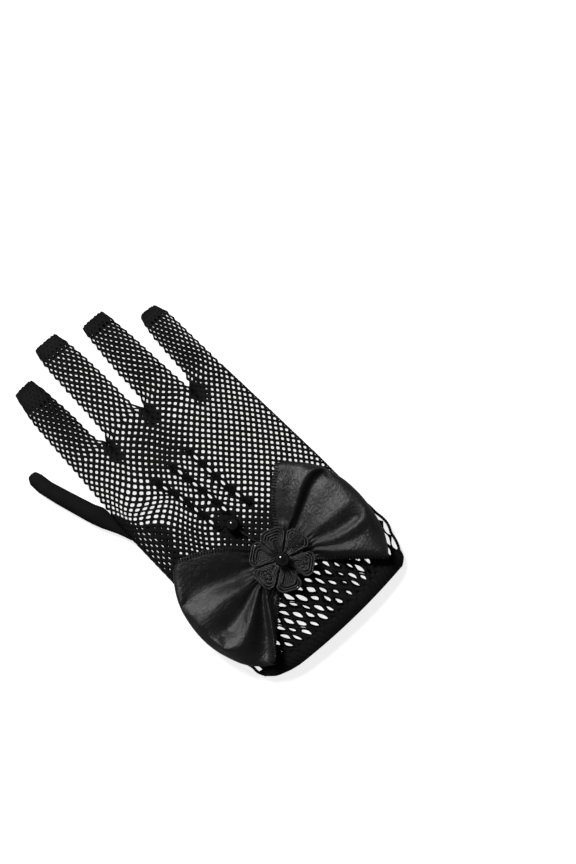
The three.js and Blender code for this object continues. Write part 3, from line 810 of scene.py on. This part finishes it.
def seam_object(name, line):
    path = smooth_path(line, 0.28)
    d = unit(np.gradient(path, axis=0))
    side = np.stack([d[:, 1], -d[:, 0]], axis=1)
    s = run_length(path)
    eyelets = np.array([s[np.argmin(np.hypot(*(path - spot).T))] for spot in line[1:5]])
    near = np.min(np.abs(s[:, None] - eyelets), axis=1)
    swell = np.exp(-(near / 2.3) ** 2)
    ends = smooth01(0, 2.5, s) * (1 - smooth01(s[-1] - 2.5, s[-1], s))
    parts = Parts()
    for sign in (-1, 1):
        turn = TAU * s / PLAIT_PITCH + (0 if sign > 0 else np.pi)
        for lane, size, rise in ((0.0, 0.42, 0.45), (0.8, 0.38, 0.2)):
            gap = (0.30 + 0.78 * swell + lane * (0.85 + 0.15 * swell)) * ends
            off = sign * (gap + 0.06 * np.sin(turn + lane * 2.2))
            x, y = (path + side * off[:, None]).T
            z = back_height(x, y) + 0.05 + rise + 0.16 * np.sin(turn + lane)
            radius = size * (1 + 0.16 * np.sin(TAU * s / THREAD_PITCH + lane)) * (0.45 + 0.55 * ends)
            parts.add(*tube(np.stack([x, y, z], axis=1), radius))
    for k, at in enumerate(np.arange(1.0, s[-1] - 0.8, RUNG_PITCH)):
        if np.min(np.abs(at - eyelets)) < 1.75:
            continue
        idx = np.argmin(np.abs(s - at))
        w = np.linspace(-1, 1, 7)
        reach = side[idx] * RUNG_HALF + d[idx] * (0.5 if k % 2 else -0.5)
        x, y = (path[idx] + np.outer(w, reach)).T
        z = back_height(x, y) + 0.75 + 0.42 * (1 - w * w)
        parts.add(*tube(np.stack([x, y, z], axis=1), 0.27, sides=6))
    return parts.object(name)


seams = [seam_object("seam_%d" % (k + 1), line) for k, line in enumerate(SEAM_LINES)]


# The bow: each loop is one folded piece of ribbon, with pleats along crest and valley lines.
BOW = (1.2, -51.2)
LEFT_LOOP = [
    (140, 53.6, -26), (145, 55.2, -22), (152, 55.8, -16), (160, 56.4, -9), (166, 56.6, -4),
    (173, 56.5, 0), (180, 56.5, 0), (187, 56.5, 0), (194, 56.3, 0), (201, 56.0, 0), (207, 55.9, 0),
    (213, 55.4, 0), (219, 54.0, 0), (225, 52.6, 0),
]
RIGHT_LOOP = [
    (-40, 53.6, 0), (-34, 53.6, 0), (-27, 53.4, 0), (-20, 52.8, 0), (-12, 51.9, 0), (-5, 51.6, 0),
    (3, 51.4, 0), (11, 51.4, 0), (18, 51.2, 0), (25, 51.4, 3), (33, 50.9, 6), (41, 50.2, 10),
    (47, 49.8, 13), (53, 49.2, 16),
]
LEFT_LINES = [
    (0.88, 0.84, [(-12, -36.5), (-19, -31), (-28, -24), (-38, -17.2)]),
    (0.66, 0.64, [(-13, -40), (-25, -33), (-40, -26)]),
    (0.36, 0.44, [(-13, -46.0), (-20, -44.8), (-30, -40.8), (-38, -37.2), (-45, -35.4)]),
    (0.44, 0.50, [(-45, -35.4), (-48.5, -35.0), (-52, -36.4)]),
    (0.95, 1.0, [(-13, -48.8), (-20, -49.2), (-25, -48.4), (-30, -47.6), (-36, -47.3), (-43, -47.8)]),
    (1.0, 0.84, [(-43, -47.8), (-48, -48.4), (-52, -48.2)]),
    (0.72, 0.70, [(-30, -44.0), (-38, -42.2), (-46, -41.6), (-52, -42.0)]),
    (0.81, 0.83, [(-20, -51.4), (-26, -52.0), (-38, -52.6), (-50, -52.6)]),
    (0.60, 0.46, [(-14, -51.8), (-20, -53.8), (-26, -56.6), (-34, -58.8), (-42, -59.8)]),
    (0.46, 0.74, [(-42, -59.8), (-47, -59.4), (-51.5, -57.6)]),
    (0.95, 1.0, [(-15, -53.8), (-20, -56.4), (-26, -60.4), (-32, -64.6), (-37, -68.0), (-42, -70.6)]),
    (1.0, 0.92, [(-42, -70.6), (-46, -70.4), (-49.2, -68.4), (-50.8, -65.4), (-50.6, -62.0)]),
    (0.72, 0.90, [(-33, -61.8), (-40, -64.4), (-48.6, -65.0)]),
    (0.44, 0.36, [(-16, -56.4), (-20, -61.6), (-24, -68.4), (-28.6, -76), (-34, -82.4), (-38, -85.2)]),
    (0.94, 0.96, [
        (-15.2, -57.2), (-18.6, -62), (-22.4, -68.8), (-26.4, -75.6), (-30.6, -82.4), (-33.4, -87),
    ]),
    (0.52, 0.50, [(-14, -60), (-19.4, -69), (-24.4, -76), (-29.6, -83.5), (-33.6, -88.6)]),
    (0.62, 0.62, [(-46.5, -26), (-51, -34)]),
    (0.60, 0.56, [(-54.2, -44), (-54.8, -52), (-54.0, -60), (-51.6, -70), (-47.5, -77)]),
]
RIGHT_LINES = [
    (0.60, 0.72, [(13.5, -34.6), (18, -27.4), (24, -20.2), (32.5, -13)]),
    (0.69, 0.76, [(14.6, -36), (20, -29.2), (27, -20.6)]),
    (0.81, 0.78, [(16, -38), (24, -30.6), (33, -24), (41, -20.6)]),
    (0.98, 1.0, [(13.5, -40.8), (18, -39), (25, -35.0), (32, -30.6), (38, -28.2), (43, -27.4)]),
    (1.0, 0.86, [(43, -27.4), (46.4, -29), (48.6, -31.6), (49, -34)]),
    (0.50, 0.56, [(15, -42.7), (20, -41.0), (27, -37.2), (34, -33.0), (41, -30.3), (45.5, -31.0)]),
    (0.60, 0.66, [(15, -45.4), (22, -44.2), (30, -40.8), (38, -37), (45, -35.4)]),
    (0.95, 1.0, [(15, -49.8), (22, -50.6), (30, -51.4), (38, -51.8), (46, -51.4)]),
    (0.74, 0.78, [(20, -47.6), (30, -46.2), (40, -44.4), (46, -43.2)]),
    (0.77, 0.74, [(21, -54.4), (25, -56.4), (30, -58.1), (35, -59.2), (40, -59.7), (44, -59.3)]),
    (0.95, 1.0, [(16, -53.6), (20, -56.4), (25, -59.1), (30, -60.8), (35, -61.9), (40, -62.4), (45, -62.0)]),
    (1.0, 0.9, [(45, -62.0), (49, -60.2), (51.6, -57), (51.6, -53.4), (49.6, -50.8)]),
    (0.80, 0.84, [(16, -56), (22, -60.8), (30, -65.4), (40, -67.6), (48, -67)]),
    (0.86, 0.92, [(17, -58), (22, -63.2), (28, -68.6), (34, -74.2), (39, -79.4), (42.5, -84)]),
    (0.40, 0.44, [(14, -58), (20, -65.6), (27, -73), (34, -79.4), (41, -85.4)]),
    (0.60, 0.60, [(47.5, -76), (50.6, -69)]),
    (0.64, 0.64, [(40, -18.6), (46, -25)]),
    (0.64, 0.64, [(51.6, -38), (52.6, -46)]),
]

LOOP_CORE = 3.0
LOOP_START = 0.12
LOOP_ROWS = 200
FOLD_COL = 118
UNDER_COLS = 44
UPPER_FLOOR = 8.75
LOWER_FLOOR = 8.55
ROOM_RADIUS = [0, 13, 16.5, 20, 27, 36, 60]
ROOM_HEIGHT = [3.6, 4.0, 4.5, 5.6, 7.6, 8.7, 8.9]
RIBBON_THICKNESS = 0.38
RIBBON_ACROSS = 72.0


def loop_plan(rows, a, s):
    """Plan place in a loop: a runs from one selvedge to the other, s from the centre to the fold."""
    place = np.linspace(0, 1, len(rows))
    angle, reach, turn = [np.interp(a, place, column) for column in np.transpose(rows)]
    radius = LOOP_CORE + (reach - LOOP_CORE) * s
    th = np.radians(angle + turn * (1 - s))
    return BOW[0] + radius * np.cos(th), BOW[1] + radius * np.sin(th), radius


def height_field(lines):
    """A surface through the crest and valley lines, with creases along them."""
    xy = [resample(line, 1.6) for _, _, line in lines]
    h = [np.linspace(start, end, len(p)) for (start, end, _), p in zip(lines, xy)]
    xy = np.concatenate(xy)
    n = len(xy)
    a = np.zeros((n + 1, n + 1))
    a[:n, :n] = -np.linalg.norm(xy[:, None, :] - xy, axis=-1) - 0.25 * np.eye(n)
    a[:n, n] = 1
    a[n, :n] = 1
    w = np.linalg.solve(a, np.concatenate(h + [[0]]))

    def value(x, y):
        flat = np.stack([x.ravel(), y.ravel()], axis=1)
        out = []
        for some in np.array_split(flat, 8):
            out.append(w[n] - np.linalg.norm(some[:, None, :] - xy, axis=-1) @ w[:n])
        return np.concatenate(out).reshape(x.shape)

    return value


def wrinkle(x, y, seed):
    """Shallow waves in fourteen directions."""
    g = np.random.default_rng(seed)
    out = np.zeros_like(x)
    for _ in range(14):
        a = g.uniform(0, TAU)
        k = TAU / g.uniform(5, 14)
        out += np.sin((x * math.cos(a) + y * math.sin(a)) * k + g.uniform(0, 6.28)) / 14
    return out


def ease(z, times):
    """Smooths a grid of heights inside its border."""
    for _ in range(times):
        around = (z[:-2, 1:-1] + z[2:, 1:-1] + z[1:-1, :-2] + z[1:-1, 2:]) / 4
        z[1:-1, 1:-1] = z[1:-1, 1:-1] * 0.5 + around * 0.5
    return z


def loop_sheet(rows, lines, seed):
    """Points of a loop's outer face: rows from selvedge to selvedge, columns out to the fold and back."""
    a = np.linspace(0, 1, LOOP_ROWS)
    aa, ss = np.meshgrid(a, np.linspace(LOOP_START, 1, FOLD_COL), indexing="ij")
    x, y, radius = loop_plan(rows, aa, ss)
    f = np.clip(height_field(lines)(x, y), 0.05, 1.08)
    gathers = 0.16 * np.sin(aa * TAU * 13 + 1.3 * np.sin(aa * 17)) * (1 - smooth01(9, 24, radius))
    z = UPPER_FLOOR + np.interp(radius, ROOM_RADIUS, ROOM_HEIGHT) * np.clip(f + gathers, 0.03, 1.1)
    z = ease(z + 0.16 * wrinkle(x, y, seed) * smooth01(8, 20, radius), 3)
    weave = np.random.default_rng(seed + 50).normal(0, 1, size=z.shape)
    weave[:, 1:-1] = (weave[:, :-2] + weave[:, 1:-1] * 1.4 + weave[:, 2:]) / 2.2
    z = z + 0.055 * weave
    edge = np.clip((ss - 0.885) / 0.115, 0, 1)
    middle = 9.0 + (z - 9.0) * 0.42
    z = middle + (z - middle) * (1 - edge ** 3) ** 0.42
    top = np.stack([x, y, z], axis=-1)
    aa, ss = np.meshgrid(a, np.linspace(1, LOOP_START, UNDER_COLS), indexing="ij")
    x, y, _ = loop_plan(rows, aa, ss)
    edge = np.clip((ss - 0.90) / 0.10, 0, 1)
    floor = LOWER_FLOOR + 0.34 * (1 + np.sin(aa * TAU * 9 + 0.8)) * smooth01(0.1, 0.4, ss)
    z = floor + (z[:, -1:] - floor) * (1 - np.sqrt(1 - edge ** 2.2))
    return np.concatenate([top, np.stack([x, y, z], axis=-1)[:, 1:]], axis=1)


def loop_object(name, sheet):
    """The ribbon of a loop, with its thickness and its weave coordinates."""
    rows, cols, _ = sheet.shape
    normal = unit(np.cross(np.gradient(sheet, axis=1), np.gradient(sheet, axis=0)))
    along = run_length(sheet.transpose(1, 0, 2)).T
    across = np.broadcast_to(np.linspace(0, RIBBON_ACROSS, rows)[:, None], along.shape)
    uv = np.stack([across, along], axis=-1).reshape(-1, 2) * MM
    points = np.concatenate([sheet, sheet - normal * RIBBON_THICKNESS]).reshape(-1, 3)
    quads = grid_faces(rows, cols)
    faces = [quads, quads[:, ::-1] + rows * cols, rim_faces(rows, cols)[:, ::-1]]
    return add_mesh(name, points, np.vstack(faces), np.vstack([uv, uv]))


def sheet_point(sheet, row, col):
    """A point of a sheet between its rows and columns."""
    r = int(np.clip(math.floor(row), 0, sheet.shape[0] - 2))
    c = int(np.clip(math.floor(col), 0, sheet.shape[1] - 2))
    pair = sheet[r] * (1 - row + r) + sheet[r + 1] * (row - r)
    return pair[c] * (1 - col + c) + pair[c + 1] * (col - c)


STITCH_START = 8
STITCH_PITCH = 1.45
STITCH_SLANT = 0.9
STITCH_DEPTH = 2.1
STITCH_RADIUS = 0.31


def selvedge(name, sheet):
    """Slanted whip stitches over both selvedges of the upper side of a loop."""
    parts = Parts()
    for row, inward in ((0, 1), (len(sheet) - 1, -1)):
        along = run_length(sheet[row, STITCH_START:FOLD_COL])
        cols = STITCH_START + np.arange(len(along))
        for place in np.arange(STITCH_PITCH, along[-1] - 0.6, STITCH_PITCH):
            col = np.interp(place, along, cols)
            lean = np.interp(max(place - STITCH_SLANT, 0), along, cols) - col
            outer = sheet_point(sheet, row, col)
            beside = sheet_point(sheet, row + inward, col)
            out = unit(outer - beside)
            depth = inward * STITCH_DEPTH / np.linalg.norm(outer - beside)
            points = [outer + out * 0.22 + (0, 0, -0.42), outer + out * 0.36 + (0, 0, -0.05)]
            for w in np.linspace(0, 1, 6):
                p = sheet_point(sheet, row + depth * w, col + lean * w)
                points.append(p + (0, 0, 0.16 + 0.16 * math.sin(math.pi * w)))
            parts.add(*tube(points, STITCH_RADIUS, sides=6))
    return parts.object(name)


sheet_left = loop_sheet(LEFT_LOOP, LEFT_LINES, seed=3)
sheet_right = loop_sheet(RIGHT_LOOP, RIGHT_LINES, seed=5)
bow_left = loop_object("ribbon_loop_left", sheet_left)
bow_right = loop_object("ribbon_loop_right", sheet_right)
stitch_left = selvedge("selvedge_left", sheet_left)
stitch_right = selvedge("selvedge_right", sheet_right)


# The flower: six petals of gimp cord laid in nested arches over a padded ground.
PETALS = [(128, "plain"), (71, "nested"), (13, "ladder"), (-50, "knots"), (-115, "plain"), (186, "knots")]
PETAL_SEED = 20
PAD_BOTTOM = 13.5
CORD_STEP = 0.16
ARCH_COUNT = {"plain": 3, "nested": 5, "ladder": 2, "knots": 3}
# Nested cords: half width at the start and at the widest, start, end, corner, thread radius, height.
ARCHES = [
    (1.45, 6.0, 4.3, 16.0, 3.3, 0.50, 15.3),
    (0.95, 4.8, 4.6, 14.8, 2.8, 0.46, 15.35),
    (0.5, 3.6, 5.6, 13.5, 2.3, 0.42, 15.3),
    (0.45, 2.4, 6.8, 12.2, 1.7, 0.38, 15.35),
    (0.25, 1.2, 8.2, 10.9, 0.8, 0.36, 15.35),
]


def arch(half_start, half_wide, start, end, corner):
    """A U outline in petal coordinates, u outwards and w across, that is open towards the centre."""
    t = np.linspace(0, np.pi / 2, 7)
    u = end - corner + corner * np.sin(t)
    w = half_wide - corner * 0.9 * (1 - np.cos(t))
    u = np.concatenate([[start], u, u[::-1], [start]])
    w = np.concatenate([[-half_start], -w, w[::-1], [half_start]])
    return resample(np.stack([u, w], axis=1), CORD_STEP).T


def petal_place(angle, u, w, z):
    """Points of a petal, u outwards and w across, at height z."""
    c = math.cos(math.radians(angle))
    s = math.sin(math.radians(angle))
    return np.stack([BOW[0] + u * c - w * s, BOW[1] + u * s + w * c, z], axis=-1)


def petal_pad(parts, angle):
    """The padded ground of a petal, with rows of fine cord along it."""
    rows = 44
    cols = 40
    u, t = np.meshgrid(np.linspace(2.2, 16.1, rows), np.linspace(-1, 1, cols), indexing="ij")
    tip = 0.2 + 5.27 * np.clip(1 - ((u - 10.4) / 5.8) ** 2, 0, 1) ** 0.42
    w = t * np.where(u < 8.8, 0.68 * u - 0.3, tip)
    ribs = 0.16 * np.sin(TAU * w / 0.95 + 0.6 * np.sin(u * 1.1)) + 0.08 * np.sin(TAU * u / 0.9)
    z = 13.95 + 0.75 * (1 - t ** 2) + ribs
    top = petal_place(angle, u, w, z).reshape(-1, 3)
    low = petal_place(angle, u, w, np.full_like(z, PAD_BOTTOM)).reshape(-1, 3)
    quads = grid_faces(rows, cols)
    parts.add(np.vstack([top, low]), np.vstack([quads[:, ::-1], quads + rows * cols]))
    parts.add(np.vstack([top, low]), rim_faces(rows, cols))


def petal_object(name, angle, kind, seed):
    g = np.random.default_rng(seed)
    parts = Parts()
    petal_pad(parts, angle)

    def cord(u, w, z, radius, **shape):
        parts.add(*tube(petal_place(angle, u, w, z), radius, **shape))

    for *numbers, size, height in ARCHES[:ARCH_COUNT[kind]]:
        u, w = arch(*numbers)
        s = np.arange(len(u)) * CORD_STEP
        w = w + 0.10 * np.sin(s * 0.9 + g.uniform(0, 6)) + 0.06 * np.sin(s * 2.3 + g.uniform(0, 6))
        z = height + 0.12 * np.sin(s * 0.7 + g.uniform(0, 6))
        z = z - 0.5 * (1 - smooth01(0, 2.4, np.minimum(s, s[-1] - s)))
        cord(u, w, z, size * (1 + 0.13 * np.sin(TAU * s / 0.62)))
    if kind == "ladder":
        for u0 in np.arange(6.6, 15.0, 0.98):
            reach = min(0.36 * u0 + 0.1, 4.4 if u0 < 13 else 3.4)
            w = np.linspace(-reach, reach, 15)
            z = 15.55 + 0.2 * np.cos(w * 0.5) + 0.10 * np.sin(w * 5)
            cord(u0 + 0.18 * np.sin(w * 1.3 + u0), w, z, 0.36 * (1 + 0.14 * np.sin(w * 9)))
        for w0 in (-2.1, 0.2, 2.3):
            u = np.linspace(7.5, 14.6, 22)
            cord(u, w0 + 0.15 * np.sin(u * 2), 15.5 + 0.28 * np.sin(np.pi * u / 0.98), 0.3)
    if kind == "knots":
        for _ in range(15):
            u0 = g.uniform(6.5, 13.2)
            w0 = g.uniform(-1, 1) * min(2.4, 0.3 * u0 - 0.3)
            t = np.linspace(0, TAU, 14, endpoint=False)
            r = g.uniform(0.55, 1.05)
            z = 15.2 + 0.22 * np.sin(t * 2 + g.uniform(0, 6)) + g.uniform(0, 0.2)
            cord(u0 + r * np.cos(t), w0 + r * 0.8 * np.sin(t), z, 0.3, sides=7, closed=True)
    return parts.object(name)


petals = [
    petal_object("petal_cord_%d" % (k + 1), angle, kind, PETAL_SEED + k)
    for k, (angle, kind) in enumerate(PETALS)
]


# The beads, each pierced along its axis, and the twisted cord of the lower one.
BEAD_SIDES = 64
BEAD_RINGS = 40
BEAD_HOLE = 0.10


def bead_object(name, centre, size, axis):
    """A bead with a hole along its axis, whose ends are sunk in a little."""
    axis = unit(np.array(axis))
    e1 = unit(np.cross(axis, np.array([1.0, 0, 0])))
    e2 = np.cross(axis, e1)
    r = size / 2
    hole = BEAD_HOLE * size
    lat = np.linspace(-np.pi / 2, np.pi / 2, BEAD_RINGS)
    steep = np.abs(np.sin(lat))
    sunk = np.where(steep > math.sqrt(1 - (hole / r) ** 2), 0.24 * (steep * 10 - 9), 0)
    up_axis = r * np.sin(lat) * 0.985 - np.sign(lat) * sunk
    rho = np.maximum(r * np.cos(lat), hole)
    th = np.linspace(0, TAU, BEAD_SIDES, endpoint=False)[:, None]
    ring = e1 * np.cos(th) + e2 * np.sin(th)
    points = np.array(centre) + ring * rho[:, None, None] + (axis * up_axis[:, None])[:, None, :]
    return add_mesh(name, points.reshape(-1, 3), grid_faces(BEAD_RINGS, BEAD_SIDES, close_cols=True))


def twisted_cord(name, line, radius):
    """Two strands twisted around each other."""
    path = smooth_path(line, 0.14)
    s = run_length(path)
    d = unit(np.gradient(path, axis=0))
    side = unit(np.cross(d, UP))
    over = np.cross(side, d)
    parts = Parts()
    for half_turn in (0, 0.5):
        a = TAU * (s[:, None] / 2.4 + half_turn)
        strand = path + (side * np.cos(a) + over * np.sin(a)) * radius * 0.45
        parts.add(*tube(strand, radius * 0.56 * (1 + 0.08 * np.sin(TAU * s / 0.4))))
    return parts.object(name)


centre_bead = bead_object("bead_centre", (1.2, -51.2, 19.0), size=7.8, axis=(0.75, -0.65, 0.05))
drop_bead = bead_object("bead_drop", (-6.1, -21.4, 12.98), size=7.3, axis=(0.25, -1.0, 0.1))
STEM_LINE = [
    (-5.2, -25.3, 11.6), (-4.4, -28.5, 10.9), (-2.6, -35, 10.8), (-0.9, -41, 10.8), (0.1, -44.5, 10.9),
]
stem = twisted_cord("drop_cord", STEM_LINE, radius=0.85)


class Material:
    """A principled material whose nodes are added one at a time."""

    def __init__(self, name):
        self.data = bpy.data.materials.new(name)
        self.data.use_nodes = True
        self.nodes = self.data.node_tree.nodes
        self.links = self.data.node_tree.links
        self.nodes.clear()
        out = self.nodes.new("ShaderNodeOutputMaterial")
        self.shader = self.nodes.new("ShaderNodeBsdfPrincipled")
        self.links.new(self.shader.outputs["BSDF"], out.inputs["Surface"])
        self.place = self.nodes.new("ShaderNodeTexCoord").outputs["Object"]

    def node(self, kind, inputs):
        """A new node, with each input linked to a socket or set to a value."""
        node = self.nodes.new("ShaderNode" + kind)
        for name, value in inputs.items():
            if isinstance(value, bpy.types.NodeSocket):
                self.links.new(value, node.inputs[name])
            else:
                node.inputs[name].default_value = value
        return node

    def noise(self, place, scale, detail, rough=0.5):
        inputs = {"Vector": place, "Scale": scale, "Detail": detail, "Roughness": rough}
        return self.node("TexNoise", inputs).outputs["Fac"]

    def maths(self, operation, a, b):
        node = self.node("Math", {0: a, 1: b})
        node.operation = operation
        return node.outputs[0]

    def colour(self, value, low, high):
        """Base colour between two tones."""
        node = self.node("ValToRGB", {"Fac": value})
        for stop, position, tone in zip(node.color_ramp.elements, (0.3, 0.7), (low, high)):
            stop.position = position
            stop.color = (*tone, 1)
        self.links.new(node.outputs["Color"], self.shader.inputs["Base Color"])

    def roughness(self, value, low, high):
        node = self.node("MapRange", {"Value": value, "To Min": low, "To Max": high})
        self.links.new(node.outputs["Result"], self.shader.inputs["Roughness"])

    def bump(self, height, strength, distance):
        node = self.node("Bump", {"Height": height, "Strength": strength, "Distance": distance})
        self.links.new(node.outputs["Normal"], self.shader.inputs["Normal"])

    def set(self, inputs):
        """Values that are the same all over the surface."""
        for name, value in inputs.items():
            self.shader.inputs[name].default_value = value


def thread_material(name, low, high, rough, sheen, fine, strength, gloss):
    """Thread with a fine grain, and tone and roughness that vary along it."""
    mat = Material(name)
    small = mat.noise(mat.place, fine, 3.0, 0.65)
    mat.colour(mat.noise(mat.place, 90.0, 2.0), low, high)
    mat.roughness(small, *rough)
    mat.set({"Specular IOR Level": gloss, "Sheen Weight": sheen, "Sheen Roughness": 0.5})
    mat.bump(small, strength, 0.0002)
    return mat.data


def satin_material(name):
    """Satin with long floats along the ribbon."""
    mat = Material(name)
    weave = mat.nodes.new("ShaderNodeUVMap")
    weave.uv_map = "weave"
    stretch = mat.node("Mapping", {"Vector": weave.outputs["UV"], "Scale": (3600.0, 520.0, 1.0)})
    floats = mat.noise(stretch.outputs["Vector"], 1.0, 2.0, 0.6)
    grain = mat.noise(mat.place, 950.0, 3.0, 0.7)
    both = mat.maths("MULTIPLY", mat.maths("ADD", floats, grain), 0.5)
    mat.colour(mat.noise(mat.place, 120.0, 3.0), (0.0085, 0.0085, 0.0088), (0.013, 0.013, 0.0135))
    mat.roughness(both, 0.32, 0.52)
    mat.set({"Specular IOR Level": 0.52, "Sheen Weight": 0.02, "Sheen Roughness": 0.4, "Anisotropic": 0.35})
    mat.bump(both, 1.0, 0.00035)
    return mat.data


def bead_material(name):
    """Polished black, with a thin coat and faint waves."""
    mat = Material(name)
    broad = mat.noise(mat.place, 400.0, 2.0)
    mat.colour(broad, (0.005, 0.005, 0.0055), (0.009, 0.009, 0.0095))
    mat.roughness(broad, 0.05, 0.10)
    mat.set({"Coat Weight": 0.25, "Coat Roughness": 0.04})
    mat.bump(broad, 0.04, 0.0001)
    return mat.data


def floor_material(name):
    """Pale paper that glows a little, so that shadows on it stay soft."""
    mat = Material(name)
    mat.colour(mat.noise(mat.place, 6.0, 2.0), (0.50, 0.50, 0.50), (0.54, 0.54, 0.54))
    mat.set({"Roughness": 0.8, "Emission Color": (1, 1, 1, 1), "Emission Strength": 0.82})
    return mat.data


# Finishes: darkest and lightest tone, range of roughness, sheen, scale and depth of grain, gloss.
NET = thread_material(
    "net_thread", (0.0032, 0.0032, 0.0034), (0.006, 0.006, 0.0063), (0.6, 0.85), 0.0, 2600.0, 0.5, 0.13)
BRAID = thread_material(
    "gimp_cord", (0.0075, 0.0075, 0.0078), (0.0185, 0.0185, 0.0192), (0.30, 0.46), 0.04, 2200.0, 0.45, 0.6)
STEM = thread_material(
    "stem_cord", (0.0045, 0.0045, 0.0047), (0.009, 0.009, 0.0094), (0.40, 0.56), 0.02, 2200.0, 0.45, 0.35)
STITCH = thread_material(
    "selvedge_thread", (0.003, 0.003, 0.0031), (0.006, 0.006, 0.0062), (0.5, 0.7), 0.0, 2400.0, 0.4, 0.22)
SATIN = satin_material("satin_weave")
BEAD = bead_material("bead_gloss")
FLOOR = floor_material("pale_floor")

pieces = [(obj, NET, "net", "hand_net") for obj in (net_back, net_palm, net_fingers, net_edge, wrist_band)]
pieces += [(cuff, NET, "net", "cuff_net"), (cuff_edge, NET, "net", "cuff_net")]
pieces += [(hem, NET, "net", "cuff_hem"), (thumb, NET, "net", "thumb")]
pieces += [(obj, NET, "net", "point_seam_%d" % (k + 1)) for k, obj in enumerate(seams)]
pieces += [(bow_left, SATIN, "satin", "bow_loop_left"), (bow_right, SATIN, "satin", "bow_loop_right")]
pieces += [(stitch_left, STITCH, "satin", "bow_loop_left"), (stitch_right, STITCH, "satin", "bow_loop_right")]
pieces += [(obj, BRAID, "braid", "petal_%d" % (k + 1)) for k, obj in enumerate(petals)]
pieces += [(centre_bead, BEAD, "bead", "centre_bead"), (drop_bead, BEAD, "bead", "drop_bead")]
pieces += [(stem, STEM, "braid", "drop_stem")]
for obj, material, slot, node in pieces:
    obj.data.materials.append(material)
    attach(obj, "root")
    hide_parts(node)


# Floor, light and view transform.
FLOOR_HALF = 2500.0
FLOOR_Z = -0.05
corners = [(x * FLOOR_HALF, y * FLOOR_HALF, FLOOR_Z) for x, y in ((-1, -1), (1, -1), (1, 1), (-1, 1))]
floor = add_mesh("floor", corners, [[0, 1, 2, 3]])
floor.data.materials.append(FLOOR)
floor.visible_glossy = False

KEY_SIZE = 0.42
KEY_POWER = 19.0
KEY_PLACE = (-0.02, 0.93, 1.12)
key_data = bpy.data.lights.new("key", "AREA")
key_data.shape = "RECTANGLE"
key_data.size = KEY_SIZE
key_data.size_y = KEY_SIZE
key_data.energy = KEY_POWER
key = bpy.data.objects.new("key", key_data)
bpy.context.collection.objects.link(key)
key.location = KEY_PLACE
key.rotation_euler = (-key.location).to_track_quat("-Z", "Y").to_euler()

# A dim dome that is a little brighter towards the horizon.
world = bpy.data.worlds.new("studio")
bpy.context.scene.world = world
world.use_nodes = True
nodes = world.node_tree.nodes
links = world.node_tree.links
background = nodes["Background"]
background.inputs["Color"].default_value = (1, 1, 1, 1)
direction = nodes.new("ShaderNodeTexCoord")
split = nodes.new("ShaderNodeSeparateXYZ")
glow = nodes.new("ShaderNodeMapRange")
glow.interpolation_type = "SMOOTHSTEP"
for name, value in {"From Min": 0.05, "From Max": 0.75, "To Min": 0.15, "To Max": 0.062}.items():
    glow.inputs[name].default_value = value
links.new(direction.outputs["Generated"], split.inputs["Vector"])
links.new(split.outputs["Z"], glow.inputs["Value"])
links.new(glow.outputs["Result"], background.inputs["Strength"])
bpy.context.scene.view_settings.view_transform = "Standard"
